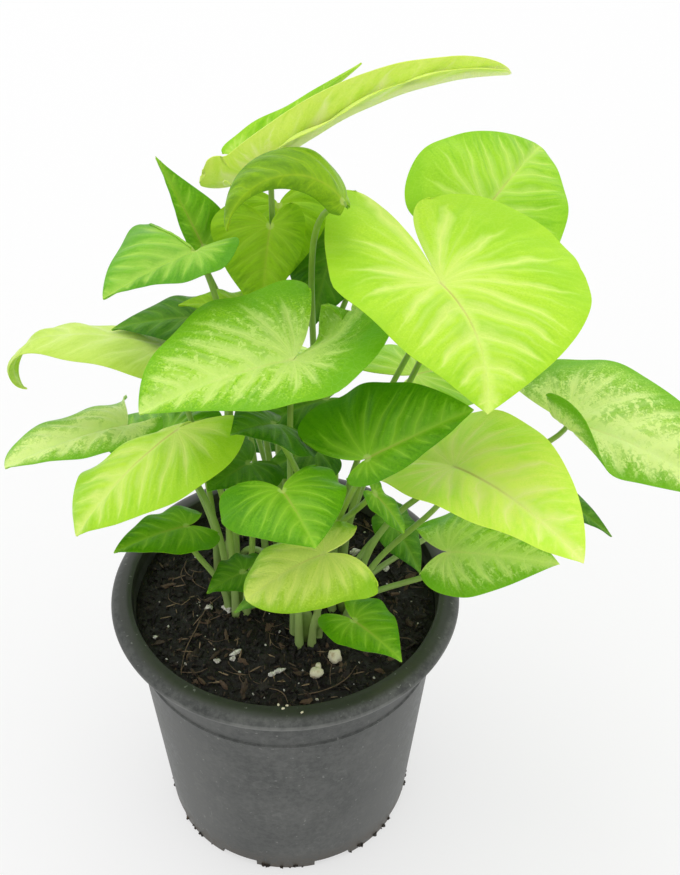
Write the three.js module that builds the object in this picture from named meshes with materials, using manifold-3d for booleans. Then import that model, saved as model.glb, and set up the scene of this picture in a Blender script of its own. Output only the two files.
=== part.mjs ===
// Arrowhead plant (Syngonium) growing in a 13 cm plastic nursery pot.
// Millimetres, +Z up. The origin is the centre of the pot's base, on the surface it stands on.
// Every leaf is one solid, its blade and its stalk together; the stems stand in holes in the soil.

import * as THREE from "three";
import { mergeVertices } from "three/addons/utils/BufferGeometryUtils.js";
import Module from "manifold-3d";

const wasm = await Module();
wasm.setup();

// ---- driving dimensions of the pot and the soil ----
const POT_HEIGHT = 112.8;
const RIM_RADIUS = 65;
const BASE_RADIUS = 48.7;
const BASE_CHAMFER = 0.6;
const WALL_TOP_RADIUS = 58;
const WALL_TOP = 107.6; // where the wall meets the underside of the lip
const WALL = 1.4;
const FLOOR = 5.2; // height of the floor's upper face
const LIP_DROP = 3.6; // how far the lip's outer edge lies below its crest
const LIP_EDGE = 1.2; // how far the rounded edge turns in, above and below
const LIP_SHOULDER = 4; // width of the lip's sloping outer part
const FOOT_RECESS = 3.6; // depth of the ring-shaped hollow under the floor
const PAD_RADIUS = 15;
const FOOT_RING_INNER = 44.5;
const BEAD = 87.8; // height of the raised ring on the wall
const BEAD_HEIGHT = 1.6;
const BEAD_DEPTH = 0.5;
const DRAIN_COUNT = 8;
const DRAIN_RADIUS = 3.5;
const DRAIN_CIRCLE = 29;
const DRAIN_SIDES = 10;
const NOTCH_WIDTH = 15; // the notches that let water out under the foot ring
const NOTCH_HEIGHT = 3.4;
const POT_SIDES = 40;

const SOIL_TOP = 105;
const SOIL_RELIEF = 0.7; // height of the crumbs round the flat middle
const SOIL_RINGS = [40, 44, 48, 52]; // the flat middle's radius, then the crumbs' rings
const SOIL_EDGE = 1.5; // how deep the surface rolls down at the wall
const CLEARANCE = 0.3; // gap left between neighbouring pieces

const STEM_RADIUS = 3;
const STEM_FOOT = 92;
const STEM_TOP = 121;
const STEM_TAPER = 6; // length of the stem's rounded end
const STEM_SIDES = 10;

const BLADE_THICKNESS = 0.7;
const STALK_RADIUS = 1.3;
const STALK_FOOT = SOIL_TOP + CLEARANCE;

// ---- materials ----
const material = (color, roughness) => new THREE.MeshStandardMaterial({ color, roughness, metalness: 0 });
const POT_PLASTIC = material(0x3b3f40, 0.55);
const SOIL_MIX = material(0x2a1d15, 0.95);
const GREEN_STEM = material(0x7fae45, 0.5);
const BRIGHT_LEAF = material(0x9bd63a, 0.45);
const PALE_LEAF = material(0xb9dd7c, 0.45);
const DARK_LEAF = material(0x4f8f2a, 0.5);

// ---- stems: the short shoots that the leaf stalks rise from ----
const STEMS = {
  left: [-17, -5],
  front: [8, -20],
  right: [22, -6],
  middle: [-3, 8],
  back_right: [17, 14],
  back_left: [-22, 14],
  back: [0, 28],
};

// ---- leaves ----
// stem and side: the shoot and the bearing round it, in degrees, where the stalk starts
// at and tip: where the stalk meets the blade, and the blade's point
// via: the point that the stalk heads for under the blade; rise: how far it first goes straight up
// roll, curl, hook: degrees that the blade leans, arches, and hooks at its tip
// sweep: millimetres that the midrib bows sideways, to the left seen from the stalk
// The rest is one value for both halves of the blade, or [left, right] of the midrib seen from the stalk.
// half and lobe: width and lobe length; wrap: how far the lobe reaches over the gap between the lobes
// point: 0 to 1, how pointed the lobe; full: how broad the tip; belly: share of the length where it is widest
// fold and bow: degrees that a half lifts off the midrib and bends down to its margin
// droop: degrees that the lobe bends down
// flap: the part of one half (side 1 or -1) beyond a crease, turned up, or down where the angle is negative;
//   the crease runs from root on the midrib to rim, both along the midrib, at the half's full width
// small: a little leaf, made of fewer facets; folded: the halves lie almost flat on each other
const LEAVES = [
  {
    name: "leaf_big_right", stem: "back_right", side: -20, at: [50, -5, 252], tip: [62, -52, 239],
    half: [46, 35], lobe: [40, 44], wrap: [12, 0], point: [0.05, 0.3], belly: [-0.14, 0.02], full: 0.6,
    roll: -8, curl: 15, sweep: 4.5, droop: 0, fold: [-3, 24], bow: 15,
  },
  {
    name: "leaf_back_right", stem: "back_right", side: 70, at: [67, 40, 251], tip: [89, 80, 253],
    half: [29, 27], lobe: [16, 15], point: 0.1, full: 0.6, roll: -15, droop: 25, fold: [20, 5], bow: 20,
  },
  {
    name: "leaf_far_right", stem: "right", side: 20, at: [98, 5, 189], tip: [150, -16, 173], rise: 0.9,
    half: [31, 16], lobe: [26, 12], point: [0.6, 0.5], full: [0.9, 0.6], roll: -10, curl: 38, droop: 33,
    fold: [15, -12], bow: [25, 16], flap: { side: -1, angle: 110, root: 1, rim: 34, radius: 4 },
    colour: PALE_LEAF,
  },
  {
    name: "leaf_low_right", stem: "right", side: -30, at: [57, -22, 192], tip: [94, -64, 191],
    half: [26, 20], lobe: [34, 30], wrap: [8, 0], point: 0.2, full: 0.7, roll: -5, curl: 40, droop: 20,
    fold: [25, 8], bow: [20, 10],
  },
  {
    name: "leaf_under_right", stem: "right", side: -80, at: [57, -22, 153], tip: [92, -40, 166],
    half: [22, 16], lobe: [18, 12], point: 0.7, full: 0.4, roll: -10, curl: 12, fold: [8, -40], bow: 20,
  },
  {
    name: "leaf_centre_big", stem: "front", side: 160, at: [5, -22, 235], tip: [-41, -38, 226],
    via: [2, -12, 200], half: [22, 34], lobe: [30, 13], wrap: [33, -8], point: [-3.2, 0.1],
    full: [0.6, 1], roll: -10, droop: [-25, 0], fold: [0, 25], bow: [20, 15],
  },
  {
    name: "leaf_centre_right", stem: "front", side: 30, at: [28, -40, 211], tip: [60, -34, 226],
    via: [17, -29, 165], half: [27, 9], lobe: [17, 8], full: 0.6, roll: -20, curl: 8, droop: -40,
    fold: 5, bow: [25, 20],
  },
  {
    name: "leaf_left_low", stem: "left", side: 255, at: [-33, -18, 203], tip: [-66, -38, 174],
    half: [26, 25], lobe: [18, 8], wrap: [0, 3], point: 0.5, belly: [0.04, 0.62], full: [0.5, 1.2],
    curl: 30, fold: [8, -13], bow: [20, 0],
    flap: { side: -1, angle: -120, root: -1, rim: 46, radius: 5 },
  },
  {
    name: "leaf_left_pale", stem: "left", side: 150, at: [-54, 8, 183], tip: [-92, -15, 183],
    rise: 0.85, via: [-42, 8, 174], half: [15, 20], lobe: [11, 8], wrap: [0, -11], point: [0.8, 0.95],
    full: [0.8, 1.2], roll: -10, droop: -40, colour: PALE_LEAF,
  },
  {
    name: "leaf_left_droop", stem: "back_left", side: 195, at: [-41, 15, 212.5], tip: [-88, 13, 193.5],
    half: [22, 19], lobe: 16, full: [0.3, 0.9], roll: -18, curl: 35, hook: 150, fold: 0,
    colour: PALE_LEAF,
  },
  {
    name: "leaf_left_horn", stem: "left", side: 100, at: [-26.5, 10, 253.2], tip: [-54.5, -5, 244.9],
    rise: 0.7, via: [-15, 5, 232], half: [15, 31], lobe: [14, -6], wrap: [6, -8], point: 0.5,
    belly: [0.04, 0.25], full: [0.1, 0.6], roll: -10, curl: 12, fold: [5, 12], bow: [25, 20],
  },
  {
    name: "leaf_spear", stem: "middle", side: 30, at: [-4, 38, 267], tip: [73, 52, 294],
    via: [-4, 34, 242], half: 14, lobe: [28, 24], wrap: [0, -5], point: [-1.6, 0], belly: [-0.25, -0.1],
    full: 1.2, roll: -25, curl: 66, droop: [-85, -90], fold: [83, 70], bow: [10, 20], folded: true,
    colour: PALE_LEAF,
  },
  {
    name: "leaf_arched", stem: "back_right", side: 190, at: [20, 0, 277.5], tip: [-15, -9, 272],
    rise: 0.75, via: [3, 20, 262], half: [6, 21], lobe: [4, 6], point: 0.8, full: [0.1, 0.5],
    roll: -10, curl: 140, droop: 45, fold: [-60, 20], bow: [20, 30],
  },
  {
    name: "leaf_centre_low", stem: "front", side: 240, at: [2.5, -54, 210.2], tip: [13, -74, 206],
    via: [3, -30, 185], half: [20, 21], lobe: [8, 10], wrap: [-4, 0], point: 0.2, full: 0.6, curl: 25,
    bow: 40,
  },
  {
    name: "leaf_pale_low", stem: "front", side: -60, at: [15, -50, 179.5], tip: [-9.5, -61, 169.5],
    half: 19, lobe: 14, wrap: [-5, 0], point: 0, belly: [-0.2, 0.04], full: [1.3, 1.4], roll: -10,
    curl: 30, droop: 20, bow: [75, 30], colour: PALE_LEAF,
  },
  {
    name: "leaf_back_centre", stem: "middle", side: 80, at: [-2, 48, 247], tip: [-5, 32, 219],
    via: [-3, 54, 236], half: 17, lobe: [8, 4], colour: PALE_LEAF,
  },
  {
    name: "leaf_rear_left", stem: "back", side: 150, at: [-22, 52, 182], tip: [-46, 86, 158], half: 24,
    lobe: 14,
  },
  {
    name: "leaf_rear_mid", stem: "back", side: 45, at: [11, 57, 174], tip: [6, 96, 150], half: 21,
    lobe: 13,
  },
  {
    name: "leaf_rear_right", stem: "back_right", side: 25, at: [47, 42, 180], tip: [80, 70, 160],
    half: 24, lobe: 18,
  },
  {
    name: "leaf_peek_right", stem: "right", side: 70, at: [88, 30, 142], tip: [123, 16, 124], half: 12,
    lobe: 10, small: true, colour: DARK_LEAF,
  },
  {
    name: "leaf_left_dark", stem: "back_left", side: 90, at: [-26, 26, 216], tip: [-58, 20, 215],
    rise: 0.6, via: [-17, 26, 188], half: [17, 14], lobe: 8, small: true, colour: DARK_LEAF,
  },
  {
    name: "leaf_left_bright", stem: "middle", side: 170, at: [-14, 24, 222], tip: [-35, 22, 224],
    half: 9, lobe: 8, small: true,
  },
  {
    name: "leaf_horn_spike", stem: "back", side: 200, at: [-26.5, 34, 238.5], tip: [-42.5, 50, 264],
    rise: 0.8, half: [5, 12], lobe: [8, 5], point: 0.5, full: 0, roll: 20, curl: 15, fold: [25, 20],
    small: true, colour: DARK_LEAF,
  },
  {
    name: "leaf_sliver", stem: "back", side: 260, at: [-16, 57, 261.5], tip: [25, 70, 288.5], rise: 0.5,
    via: [-20, 66, 235], half: [6, 7], lobe: 4, curl: -10, fold: 45, small: true,
  },
  {
    name: "leaf_front_small", stem: "front", side: -10, at: [25, -45, 143], tip: [41, -60, 140],
    half: [14, 11], lobe: 10, small: true,
  },
  {
    name: "leaf_left_small", stem: "left", side: 208, at: [-33, -14, 156], tip: [-56, -30, 159],
    half: [13, 11], lobe: 9, full: 0.5, small: true, colour: DARK_LEAF,
  },
  {
    name: "leaf_left_floor", stem: "left", side: -55, at: [-13, -28, 148], tip: [-25, -36, 146],
    half: 9, lobe: 9, small: true, colour: DARK_LEAF,
  },
  {
    name: "leaf_centre_dark", stem: "left", side: -8, at: [-10, -19, 190], tip: [-23, -31, 188],
    half: [14, 18], lobe: [7, 8], small: true, colour: DARK_LEAF,
  },
  {
    name: "leaf_centre_shade", stem: "middle", side: 340, at: [11, 4, 176], tip: [-10, -5, 171],
    rise: 0.75, via: [12, 6, 165], half: [15, 8], lobe: 6, small: true, colour: DARK_LEAF,
  },
  {
    name: "leaf_inner_dark", stem: "right", side: 190, at: [-1, -25, 212], tip: [-14, -36, 217],
    via: [5, -24, 191], half: [19, 14], lobe: 8, small: true, colour: DARK_LEAF,
  },
  {
    name: "leaf_bud", stem: "front", side: 90, at: [31, -36, 192.5], tip: [41, -39, 178], rise: 0.6,
    via: [23, -24, 168], half: 6, lobe: 4, full: 0.9, small: true,
  },
  {
    name: "leaf_behind_right", stem: "right", side: 110, at: [40, 6, 138], tip: [50, -4, 123], half: 9,
    lobe: 7, small: true, colour: DARK_LEAF,
  },
  {
    name: "leaf_back_pale", stem: "back_right", side: 115, at: [17, 56, 228], tip: [-1, 70, 232],
    half: 14, lobe: 14, small: true, colour: PALE_LEAF,
  },
  {
    name: "leaf_rear_side", stem: "back_left", side: 140, at: [-44, 32, 160], tip: [-77, 54, 140],
    half: 20, lobe: 16, small: true,
  },
  {
    name: "leaf_rear_low", stem: "back", side: 95, at: [6, 54, 140], tip: [2, 88, 128], half: 26,
    lobe: 10, small: true, colour: DARK_LEAF,
  },
  {
    name: "leaf_inner_low", stem: "back_right", side: 280, at: [15, -1, 203], tip: [-10, -11, 197],
    rise: 0.9, via: [20, 2, 165], half: [14, 13], lobe: 8, small: true, colour: DARK_LEAF,
  },
  {
    name: "leaf_back_left", stem: "back_left", side: 280, at: [-4, 30, 250], tip: [-7, 16, 222],
    rise: 0.75, via: [-3, 28, 199], half: [12, 20], lobe: [8, 6], small: true, colour: PALE_LEAF,
  },
  {
    name: "leaf_back_dark", stem: "back", side: 350, at: [18, 43, 238], tip: [9, 27, 210], rise: 0.9,
    via: [36, 43, 215], half: [17, 20], lobe: 9, small: true, colour: DARK_LEAF,
  },
  {
    name: "leaf_under_pale", stem: "back_left", side: 20, at: [4.5, -56, 171], tip: [-14, -58, 160.5],
    via: [16, -54, 160], half: [6, 9], lobe: 6, small: true, colour: DARK_LEAF,
  },
];

const LEAF_DEFAULTS = {
  roll: 0, curl: 20, hook: 0, droop: 10, fold: 8, bow: 25, point: 0.3, full: 0.2, wrap: 0, belly: 0.04,
  sweep: 0, flap: null, rise: 0.45, via: null, small: false, folded: false, colour: BRIGHT_LEAF,
};
const PER_HALF = ["half", "lobe", "wrap", "point", "belly", "full", "droop", "fold", "bow"];

const LOBE_SHARE = 0.36; // share of a half blade's rows that lie in its lobe
const MIDRIB_STEPS = 48;
const PROBE = 0.01; // step over which a crease's two directions are measured

const radians = THREE.MathUtils.degToRad;

// ---- solids ----

function toSolid(geometry) {
  const bare = geometry.clone();
  bare.deleteAttribute("normal");
  bare.deleteAttribute("uv");
  const merged = mergeVertices(bare, 1e-4);
  return new wasm.Manifold(new wasm.Mesh({
    numProp: 3,
    vertProperties: new Float32Array(merged.attributes.position.array),
    triVerts: new Uint32Array(merged.index.array),
  }));
}

function toGeometry(solid) {
  const mesh = solid.getMesh();
  const geometry = new THREE.BufferGeometry();
  geometry.setAttribute("position", new THREE.BufferAttribute(new Float32Array(mesh.vertProperties), 3));
  geometry.setIndex(new THREE.BufferAttribute(new Uint32Array(mesh.triVerts), 1));
  geometry.computeVertexNormals();
  return geometry;
}

function lathe(profile, sides) {
  const geometry = new THREE.LatheGeometry(profile.map(([r, z]) => new THREE.Vector2(r, z)), sides);
  geometry.rotateX(Math.PI / 2);
  return geometry;
}

function cylinder(radius, bottom, top, x, y, sides) {
  const geometry = new THREE.CylinderGeometry(radius, radius, top - bottom, sides);
  geometry.rotateX(Math.PI / 2);
  geometry.translate(x, y, (top + bottom) / 2);
  return geometry;
}

// ---- pot ----

const wallSlope = (WALL_TOP_RADIUS - BASE_RADIUS) / WALL_TOP;
const wallRadius = (z) => BASE_RADIUS + wallSlope * z;

function makePot() {
  const outside = [[BASE_RADIUS - BASE_CHAMFER, 0], [wallRadius(BASE_CHAMFER), BASE_CHAMFER]];
  outside.push([wallRadius(BEAD), BEAD]);
  outside.push([wallRadius(BEAD) + BEAD_DEPTH, BEAD + BEAD_HEIGHT / 2]);
  outside.push([wallRadius(BEAD + BEAD_HEIGHT), BEAD + BEAD_HEIGHT]);
  outside.push([WALL_TOP_RADIUS, WALL_TOP]);
  const edge = POT_HEIGHT - LIP_DROP;
  const crestDrop = LIP_DROP / 8;
  const lip = [
    [RIM_RADIUS - LIP_EDGE, edge - LIP_EDGE],
    [RIM_RADIUS, edge],
    [RIM_RADIUS - LIP_EDGE, edge + 1.5 * LIP_EDGE],
    [RIM_RADIUS - LIP_SHOULDER, POT_HEIGHT - crestDrop],
    [WALL_TOP_RADIUS, POT_HEIGHT],
    [WALL_TOP_RADIUS - 1, POT_HEIGHT - crestDrop],
  ];
  const inside = [
    [wallRadius(WALL_TOP) - WALL, WALL_TOP],
    [wallRadius(FLOOR + 1) - WALL, FLOOR + 1],
    [wallRadius(FLOOR) - WALL - 1, FLOOR],
    [0, FLOOR],
  ];
  const under = [
    [0, 0],
    [PAD_RADIUS, 0],
    [PAD_RADIUS + 1, FOOT_RECESS],
    [FOOT_RING_INNER, FOOT_RECESS],
    [FOOT_RING_INNER + 1, 0],
  ];
  let pot = toSolid(lathe([...under, ...outside, ...lip, ...inside], POT_SIDES));
  for (let i = 0; i < DRAIN_COUNT; i++) {
    const turn = (i * 2 * Math.PI) / DRAIN_COUNT;
    const x = DRAIN_CIRCLE * Math.cos(turn);
    const y = DRAIN_CIRCLE * Math.sin(turn);
    pot = pot.subtract(toSolid(cylinder(DRAIN_RADIUS, -1, FLOOR + 1, x, y, DRAIN_SIDES)));
    const notchLength = 2 * (BASE_RADIUS - FOOT_RING_INNER + 2);
    const notch = new THREE.BoxGeometry(notchLength, NOTCH_WIDTH, 2 * NOTCH_HEIGHT);
    notch.translate(BASE_RADIUS, 0, 0);
    notch.rotateZ(turn + Math.PI / DRAIN_COUNT);
    pot = pot.subtract(toSolid(notch));
  }
  return toGeometry(pot);
}

// ---- soil ----

function makeSoil() {
  const bottom = FLOOR + CLEARANCE;
  const reach = (z) => wallRadius(z) - WALL - CLEARANCE;
  const profile = [
    [0, bottom],
    [reach(bottom) - SOIL_EDGE, bottom],
    [reach(bottom + SOIL_EDGE), bottom + SOIL_EDGE],
    [reach(SOIL_TOP - SOIL_EDGE), SOIL_TOP - SOIL_EDGE],
    [reach(SOIL_TOP) - CLEARANCE, SOIL_TOP],
    ...SOIL_RINGS.map((r) => [r, SOIL_TOP]).reverse(),
    [0, SOIL_TOP],
  ];
  const soil = lathe(profile, POT_SIDES);
  const position = soil.attributes.position;
  for (let i = 0; i < position.count; i++) {
    const x = position.getX(i);
    const y = position.getY(i);
    const r = Math.hypot(x, y);
    if (r > SOIL_RINGS[0] + 1 && position.getZ(i) > SOIL_TOP - SOIL_EDGE / 2) {
      const turn = Math.atan2(y, x);
      const crumbs = Math.sin(9 * turn + r) + Math.cos(14 * turn - 0.7 * r);
      position.setZ(i, SOIL_TOP + (SOIL_RELIEF * crumbs) / 2);
    }
  }
  let solid = toSolid(soil);
  for (const [x, y] of Object.values(STEMS)) {
    const hole = cylinder(STEM_RADIUS + CLEARANCE, STEM_FOOT - CLEARANCE, SOIL_TOP + 2, x, y, STEM_SIDES);
    solid = solid.subtract(toSolid(hole));
  }
  return toGeometry(solid);
}

// ---- stems ----

function makeStem([x, y]) {
  const profile = [
    [0, STEM_FOOT],
    [STEM_RADIUS, STEM_FOOT],
    [STEM_RADIUS, STEM_TOP - STEM_TAPER],
    [STEM_RADIUS * 0.7, STEM_TOP - STEM_TAPER / 4],
    [0, STEM_TOP],
  ];
  const stem = lathe(profile, STEM_SIDES);
  stem.translate(x, y, 0);
  return stem;
}

// ---- leaves ----

// The midrib of unit length, as heading angle and place at each step.
// It bends down evenly by curl, and by hook close to its tip.
function midribCurve(curl, hook) {
  const heading = (u) => -(curl * u + hook * u ** 5);
  const xs = [0];
  const zs = [0];
  for (let i = 0; i < MIDRIB_STEPS; i++) {
    const angle = heading((i + 0.5) / MIDRIB_STEPS);
    xs.push(xs[i] + Math.cos(angle) / MIDRIB_STEPS);
    zs.push(zs[i] + Math.sin(angle) / MIDRIB_STEPS);
  }
  const place = (list, u) => {
    const step = Math.min(MIDRIB_STEPS - 1, Math.floor(u * MIDRIB_STEPS));
    return THREE.MathUtils.lerp(list[step], list[step + 1], u * MIDRIB_STEPS - step);
  };
  return { heading, x: (u) => place(xs, u), z: (u) => place(zs, u) };
}

// The blade's own frame: along the chord from stalk to tip, across it to the left, and up off it.
function bladeFrame(leaf) {
  const at = new THREE.Vector3(...leaf.at);
  const chord = new THREE.Vector3(...leaf.tip).sub(at);
  const along = chord.clone().normalize();
  const rise = new THREE.Vector3(0, 0, 1);
  const level = rise.addScaledVector(along, -rise.dot(along)).normalize();
  const side = new THREE.Vector3().crossVectors(level, along);
  const roll = radians(leaf.roll);
  const up = level.clone().applyAxisAngle(along, -roll);
  const across = side.clone().applyAxisAngle(along, -roll);
  const midrib = midribCurve(radians(leaf.curl), radians(leaf.hook));
  const endX = midrib.x(1);
  const endZ = midrib.z(1);
  const start = -Math.atan2(endZ, endX);
  return { at, along, across, up, midrib, start, length: chord.length() / Math.hypot(endX, endZ) };
}

// Bends the flat blade point (x along the midrib, y off it, side 1 left or -1 right) into space.
function bladePoint(leaf, frame, x, y, side) {
  const half = side > 0 ? 0 : 1;
  const u = x / frame.length;
  let alongMidrib;
  let aboveChord;
  let heading;
  let shift = 0;
  if (x >= 0) {
    const mx = frame.midrib.x(u);
    const mz = frame.midrib.z(u);
    alongMidrib = frame.length * (mx * Math.cos(frame.start) - mz * Math.sin(frame.start));
    aboveChord = frame.length * (mx * Math.sin(frame.start) + mz * Math.cos(frame.start));
    heading = frame.start + frame.midrib.heading(u);
    shift = 4 * leaf.sweep * u * (1 - u);
  } else {
    const bend = radians(leaf.droop[half]) / Math.max(...leaf.lobe);
    heading = frame.start - bend * x;
    if (bend === 0) {
      alongMidrib = x * Math.cos(heading);
      aboveChord = x * Math.sin(heading);
    } else {
      alongMidrib = (Math.sin(frame.start) - Math.sin(heading)) / bend;
      aboveChord = (Math.cos(heading) - Math.cos(frame.start)) / bend;
    }
  }
  const normal = frame.up.clone()
    .multiplyScalar(Math.cos(heading))
    .addScaledVector(frame.along, -Math.sin(heading));
  const lift = radians(leaf.fold[half]);
  const bend = radians(leaf.bow[half]) / leaf.half[half];
  let out = y * Math.cos(lift);
  let off = y * Math.sin(lift);
  if (bend !== 0) {
    out = (Math.sin(lift) - Math.sin(lift - bend * y)) / bend;
    off = (Math.cos(lift - bend * y) - Math.cos(lift)) / bend;
  }
  return frame.at.clone()
    .addScaledVector(frame.along, alongMidrib)
    .addScaledVector(frame.up, aboveChord)
    .addScaledVector(frame.across, side * out + shift)
    .addScaledVector(normal, off);
}

// As bladePoint, with the leaf's flap turned over its crease in a round bend.
function foldedPoint(leaf, frame, x, y, side) {
  const { flap } = leaf;
  const point = (p) => bladePoint(leaf, frame, p.x, p.y, side);
  const flat = new THREE.Vector2(x, y);
  if (flap === null || flap.side !== side) {
    return point(flat);
  }
  const root = new THREE.Vector2(flap.root, 0);
  const crease = new THREE.Vector2(flap.rim, leaf.half[side > 0 ? 0 : 1]).sub(root).normalize();
  const outward = new THREE.Vector2(-crease.y, crease.x);
  const beyond = flat.clone().sub(root).dot(outward);
  if (beyond <= 0) {
    return point(flat);
  }
  const hinge = root.clone().addScaledVector(crease, flat.clone().sub(root).dot(crease));
  const at = point(hinge);
  const forward = point(hinge.clone().addScaledVector(crease, PROBE)).sub(at);
  const away = point(hinge.clone().addScaledVector(outward, PROBE)).sub(at);
  const normal = forward.cross(away).normalize();
  normal.multiplyScalar(Math.sign(normal.dot(frame.up)));
  away.addScaledVector(normal, -away.dot(normal)).normalize();
  const turn = Math.min(beyond / flap.radius, radians(Math.abs(flap.angle)));
  const rest = beyond - turn * flap.radius;
  return at
    .addScaledVector(away, flap.radius * Math.sin(turn) + rest * Math.cos(turn))
    .addScaledVector(
      normal,
      Math.sign(flap.angle) * (flap.radius * (1 - Math.cos(turn)) + rest * Math.sin(turn)),
    );
}

// The margin and the inner edge (sinus, then midrib) of one half, as curves of t from lobe to tip.
function halfOutline(leaf, frame, side) {
  const half = side > 0 ? 0 : 1;
  const width = leaf.half[half];
  const lobe = leaf.lobe[half];
  const wrap = leaf.wrap[half];
  const belly = leaf.belly[half];
  const full = leaf.full[half];
  const round = 1 - leaf.point[half];
  const tip = frame.length;
  const curve = (...points) => {
    const [start, first, second, end] = points.map(([x, y]) => new THREE.Vector2(x, y));
    return new THREE.CubicBezierCurve(start, first, second, end);
  };
  const lobeTip = [-lobe, 0.5 * width - 1.3 * wrap];
  const shoulder = width * (1 - Math.max(0, belly - LEAF_DEFAULTS.belly));
  const widest = [belly * tip, width];
  const lobeMargin = curve(
    lobeTip,
    [-lobe * (1 + 0.22 * round), width * (0.62 + 0.2 * round) - wrap],
    [-0.45 * lobe, shoulder],
    widest,
  );
  const tipMargin = curve(
    widest,
    [Math.max(0.38, belly + 0.1) * tip, width],
    [(0.68 + 0.16 * full) * tip, (0.2 + 0.5 * full) * width],
    [tip, 0],
  );
  const sinus = curve(
    lobeTip,
    [-lobe * (0.88 + 0.1 * round), width * (0.45 - 0.22 * round) - 1.3 * wrap],
    [-0.45 * lobe, 0.05 * width - 0.3 * wrap],
    [0, 0],
  );
  const share = (t) => (t - LOBE_SHARE) / (1 - LOBE_SHARE);
  return {
    margin: (t) => (t < LOBE_SHARE ? lobeMargin.getPoint(t / LOBE_SHARE) : tipMargin.getPoint(share(t))),
    inner: (t) => (t < LOBE_SHARE ? sinus.getPoint(t / LOBE_SHARE) : new THREE.Vector2(share(t) * tip, 0)),
  };
}

// Points and triangles of the blade's middle surface, with the midrib shared by the halves named.
function bladeSurface(leaf, frame, sides) {
  const rows = leaf.small ? 8 : 10;
  const strips = leaf.small ? 2 : 3;
  const lobeRows = Math.max(2, Math.round(rows * LOBE_SHARE));
  const points = [];
  const faces = [];
  const midribPoints = new Map();
  const add = (x, y, side) => points.push(foldedPoint(leaf, frame, x, y, side)) - 1;
  const addMidrib = (x) => {
    if (!midribPoints.has(x)) {
      midribPoints.set(x, add(x, 0, 1));
    }
    return midribPoints.get(x);
  };
  for (const side of sides) {
    const outline = halfOutline(leaf, frame, side);
    const grid = [];
    for (let i = 0; i <= rows; i++) {
      const inLobe = i < lobeRows;
      const t = inLobe
        ? (LOBE_SHARE * i) / lobeRows
        : LOBE_SHARE + ((1 - LOBE_SHARE) * (i - lobeRows)) / (rows - lobeRows);
      const margin = outline.margin(t);
      const inner = outline.inner(t);
      if (i === 0) {
        grid.push([add(margin.x, margin.y, side)]);
      } else if (i === rows) {
        grid.push([addMidrib(frame.length)]);
      } else {
        const row = [inLobe ? add(inner.x, inner.y, side) : addMidrib(inner.x)];
        for (let j = 1; j <= strips; j++) {
          const p = inner.clone().lerp(margin, j / strips);
          row.push(add(p.x, p.y, side));
        }
        grid.push(row);
      }
    }
    const face = (a, b, c) => faces.push(side > 0 ? [a, b, c] : [c, b, a]);
    for (let i = 0; i < rows; i++) {
      const [near, far] = [grid[i], grid[i + 1]];
      for (let j = 0; j < strips; j++) {
        if (near.length === 1) {
          face(near[0], far[j], far[j + 1]);
        } else if (far.length === 1) {
          face(near[j], far[0], near[j + 1]);
        } else {
          face(near[j], far[j], far[j + 1]);
          face(near[j], far[j + 1], near[j + 1]);
        }
      }
    }
  }
  return { points, faces };
}

// Thickens a surface evenly to both sides and closes it along its edge.
function thicken({ points, faces }, thickness) {
  const normals = points.map(() => new THREE.Vector3());
  for (const [a, b, c] of faces) {
    const first = points[b].clone().sub(points[a]);
    const normal = first.cross(points[c].clone().sub(points[a]));
    for (const k of [a, b, c]) {
      normals[k].add(normal);
    }
  }
  const count = points.length;
  const position = new Float32Array(6 * count);
  points.forEach((p, k) => {
    const n = normals[k].normalize();
    p.clone().addScaledVector(n, thickness / 2).toArray(position, 3 * k);
    p.clone().addScaledVector(n, -thickness / 2).toArray(position, 3 * (count + k));
  });
  const index = [];
  const edges = new Set(faces.flatMap(([a, b, c]) => [`${a},${b}`, `${b},${c}`, `${c},${a}`]));
  for (const [a, b, c] of faces) {
    index.push(a, b, c, count + c, count + b, count + a);
  }
  for (const edge of edges) {
    const [a, b] = edge.split(",").map(Number);
    if (!edges.has(`${b},${a}`)) {
      index.push(b, a, count + a, b, count + a, count + b);
    }
  }
  const geometry = new THREE.BufferGeometry();
  geometry.setAttribute("position", new THREE.BufferAttribute(position, 3));
  geometry.setIndex(index);
  return geometry;
}

// The stalk rises beside its stem and bends over to meet the blade from below.
function makeStalk(leaf, frame) {
  const [stemX, stemY] = STEMS[leaf.stem];
  const turn = radians(leaf.side);
  const offset = STEM_RADIUS + CLEARANCE + STALK_RADIUS;
  const footX = stemX + offset * Math.cos(turn);
  const footY = stemY + offset * Math.sin(turn);
  const foot = new THREE.Vector3(footX, footY, STALK_FOOT);
  const end = frame.at;
  const first = foot.clone().setZ(foot.z + leaf.rise * (end.z - foot.z));
  const below = end.clone().addScaledVector(frame.up, -0.3 * end.distanceTo(foot));
  const second = leaf.via ? new THREE.Vector3(...leaf.via) : below;
  const sides = leaf.small ? 5 : 6;
  const section = new THREE.Shape();
  for (let i = 0; i < sides; i++) {
    const angle = (2 * Math.PI * i) / sides;
    const corner = [STALK_RADIUS * Math.cos(angle), STALK_RADIUS * Math.sin(angle)];
    if (i === 0) {
      section.moveTo(...corner);
    } else {
      section.lineTo(...corner);
    }
  }
  return new THREE.ExtrudeGeometry(section, {
    steps: leaf.small ? 7 : 9,
    bevelEnabled: false,
    extrudePath: new THREE.CubicBezierCurve3(foot, first, second, end),
  });
}

function makeLeaf(leaf) {
  const frame = bladeFrame(leaf);
  const parts = leaf.folded ? [[1], [-1]] : [[1, -1]];
  let solid = toSolid(makeStalk(leaf, frame));
  for (const sides of parts) {
    solid = solid.add(toSolid(thicken(bladeSurface(leaf, frame, sides), BLADE_THICKNESS)));
  }
  return toGeometry(solid);
}

// ---- the plant in its pot ----

const plant = new THREE.Group();

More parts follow.
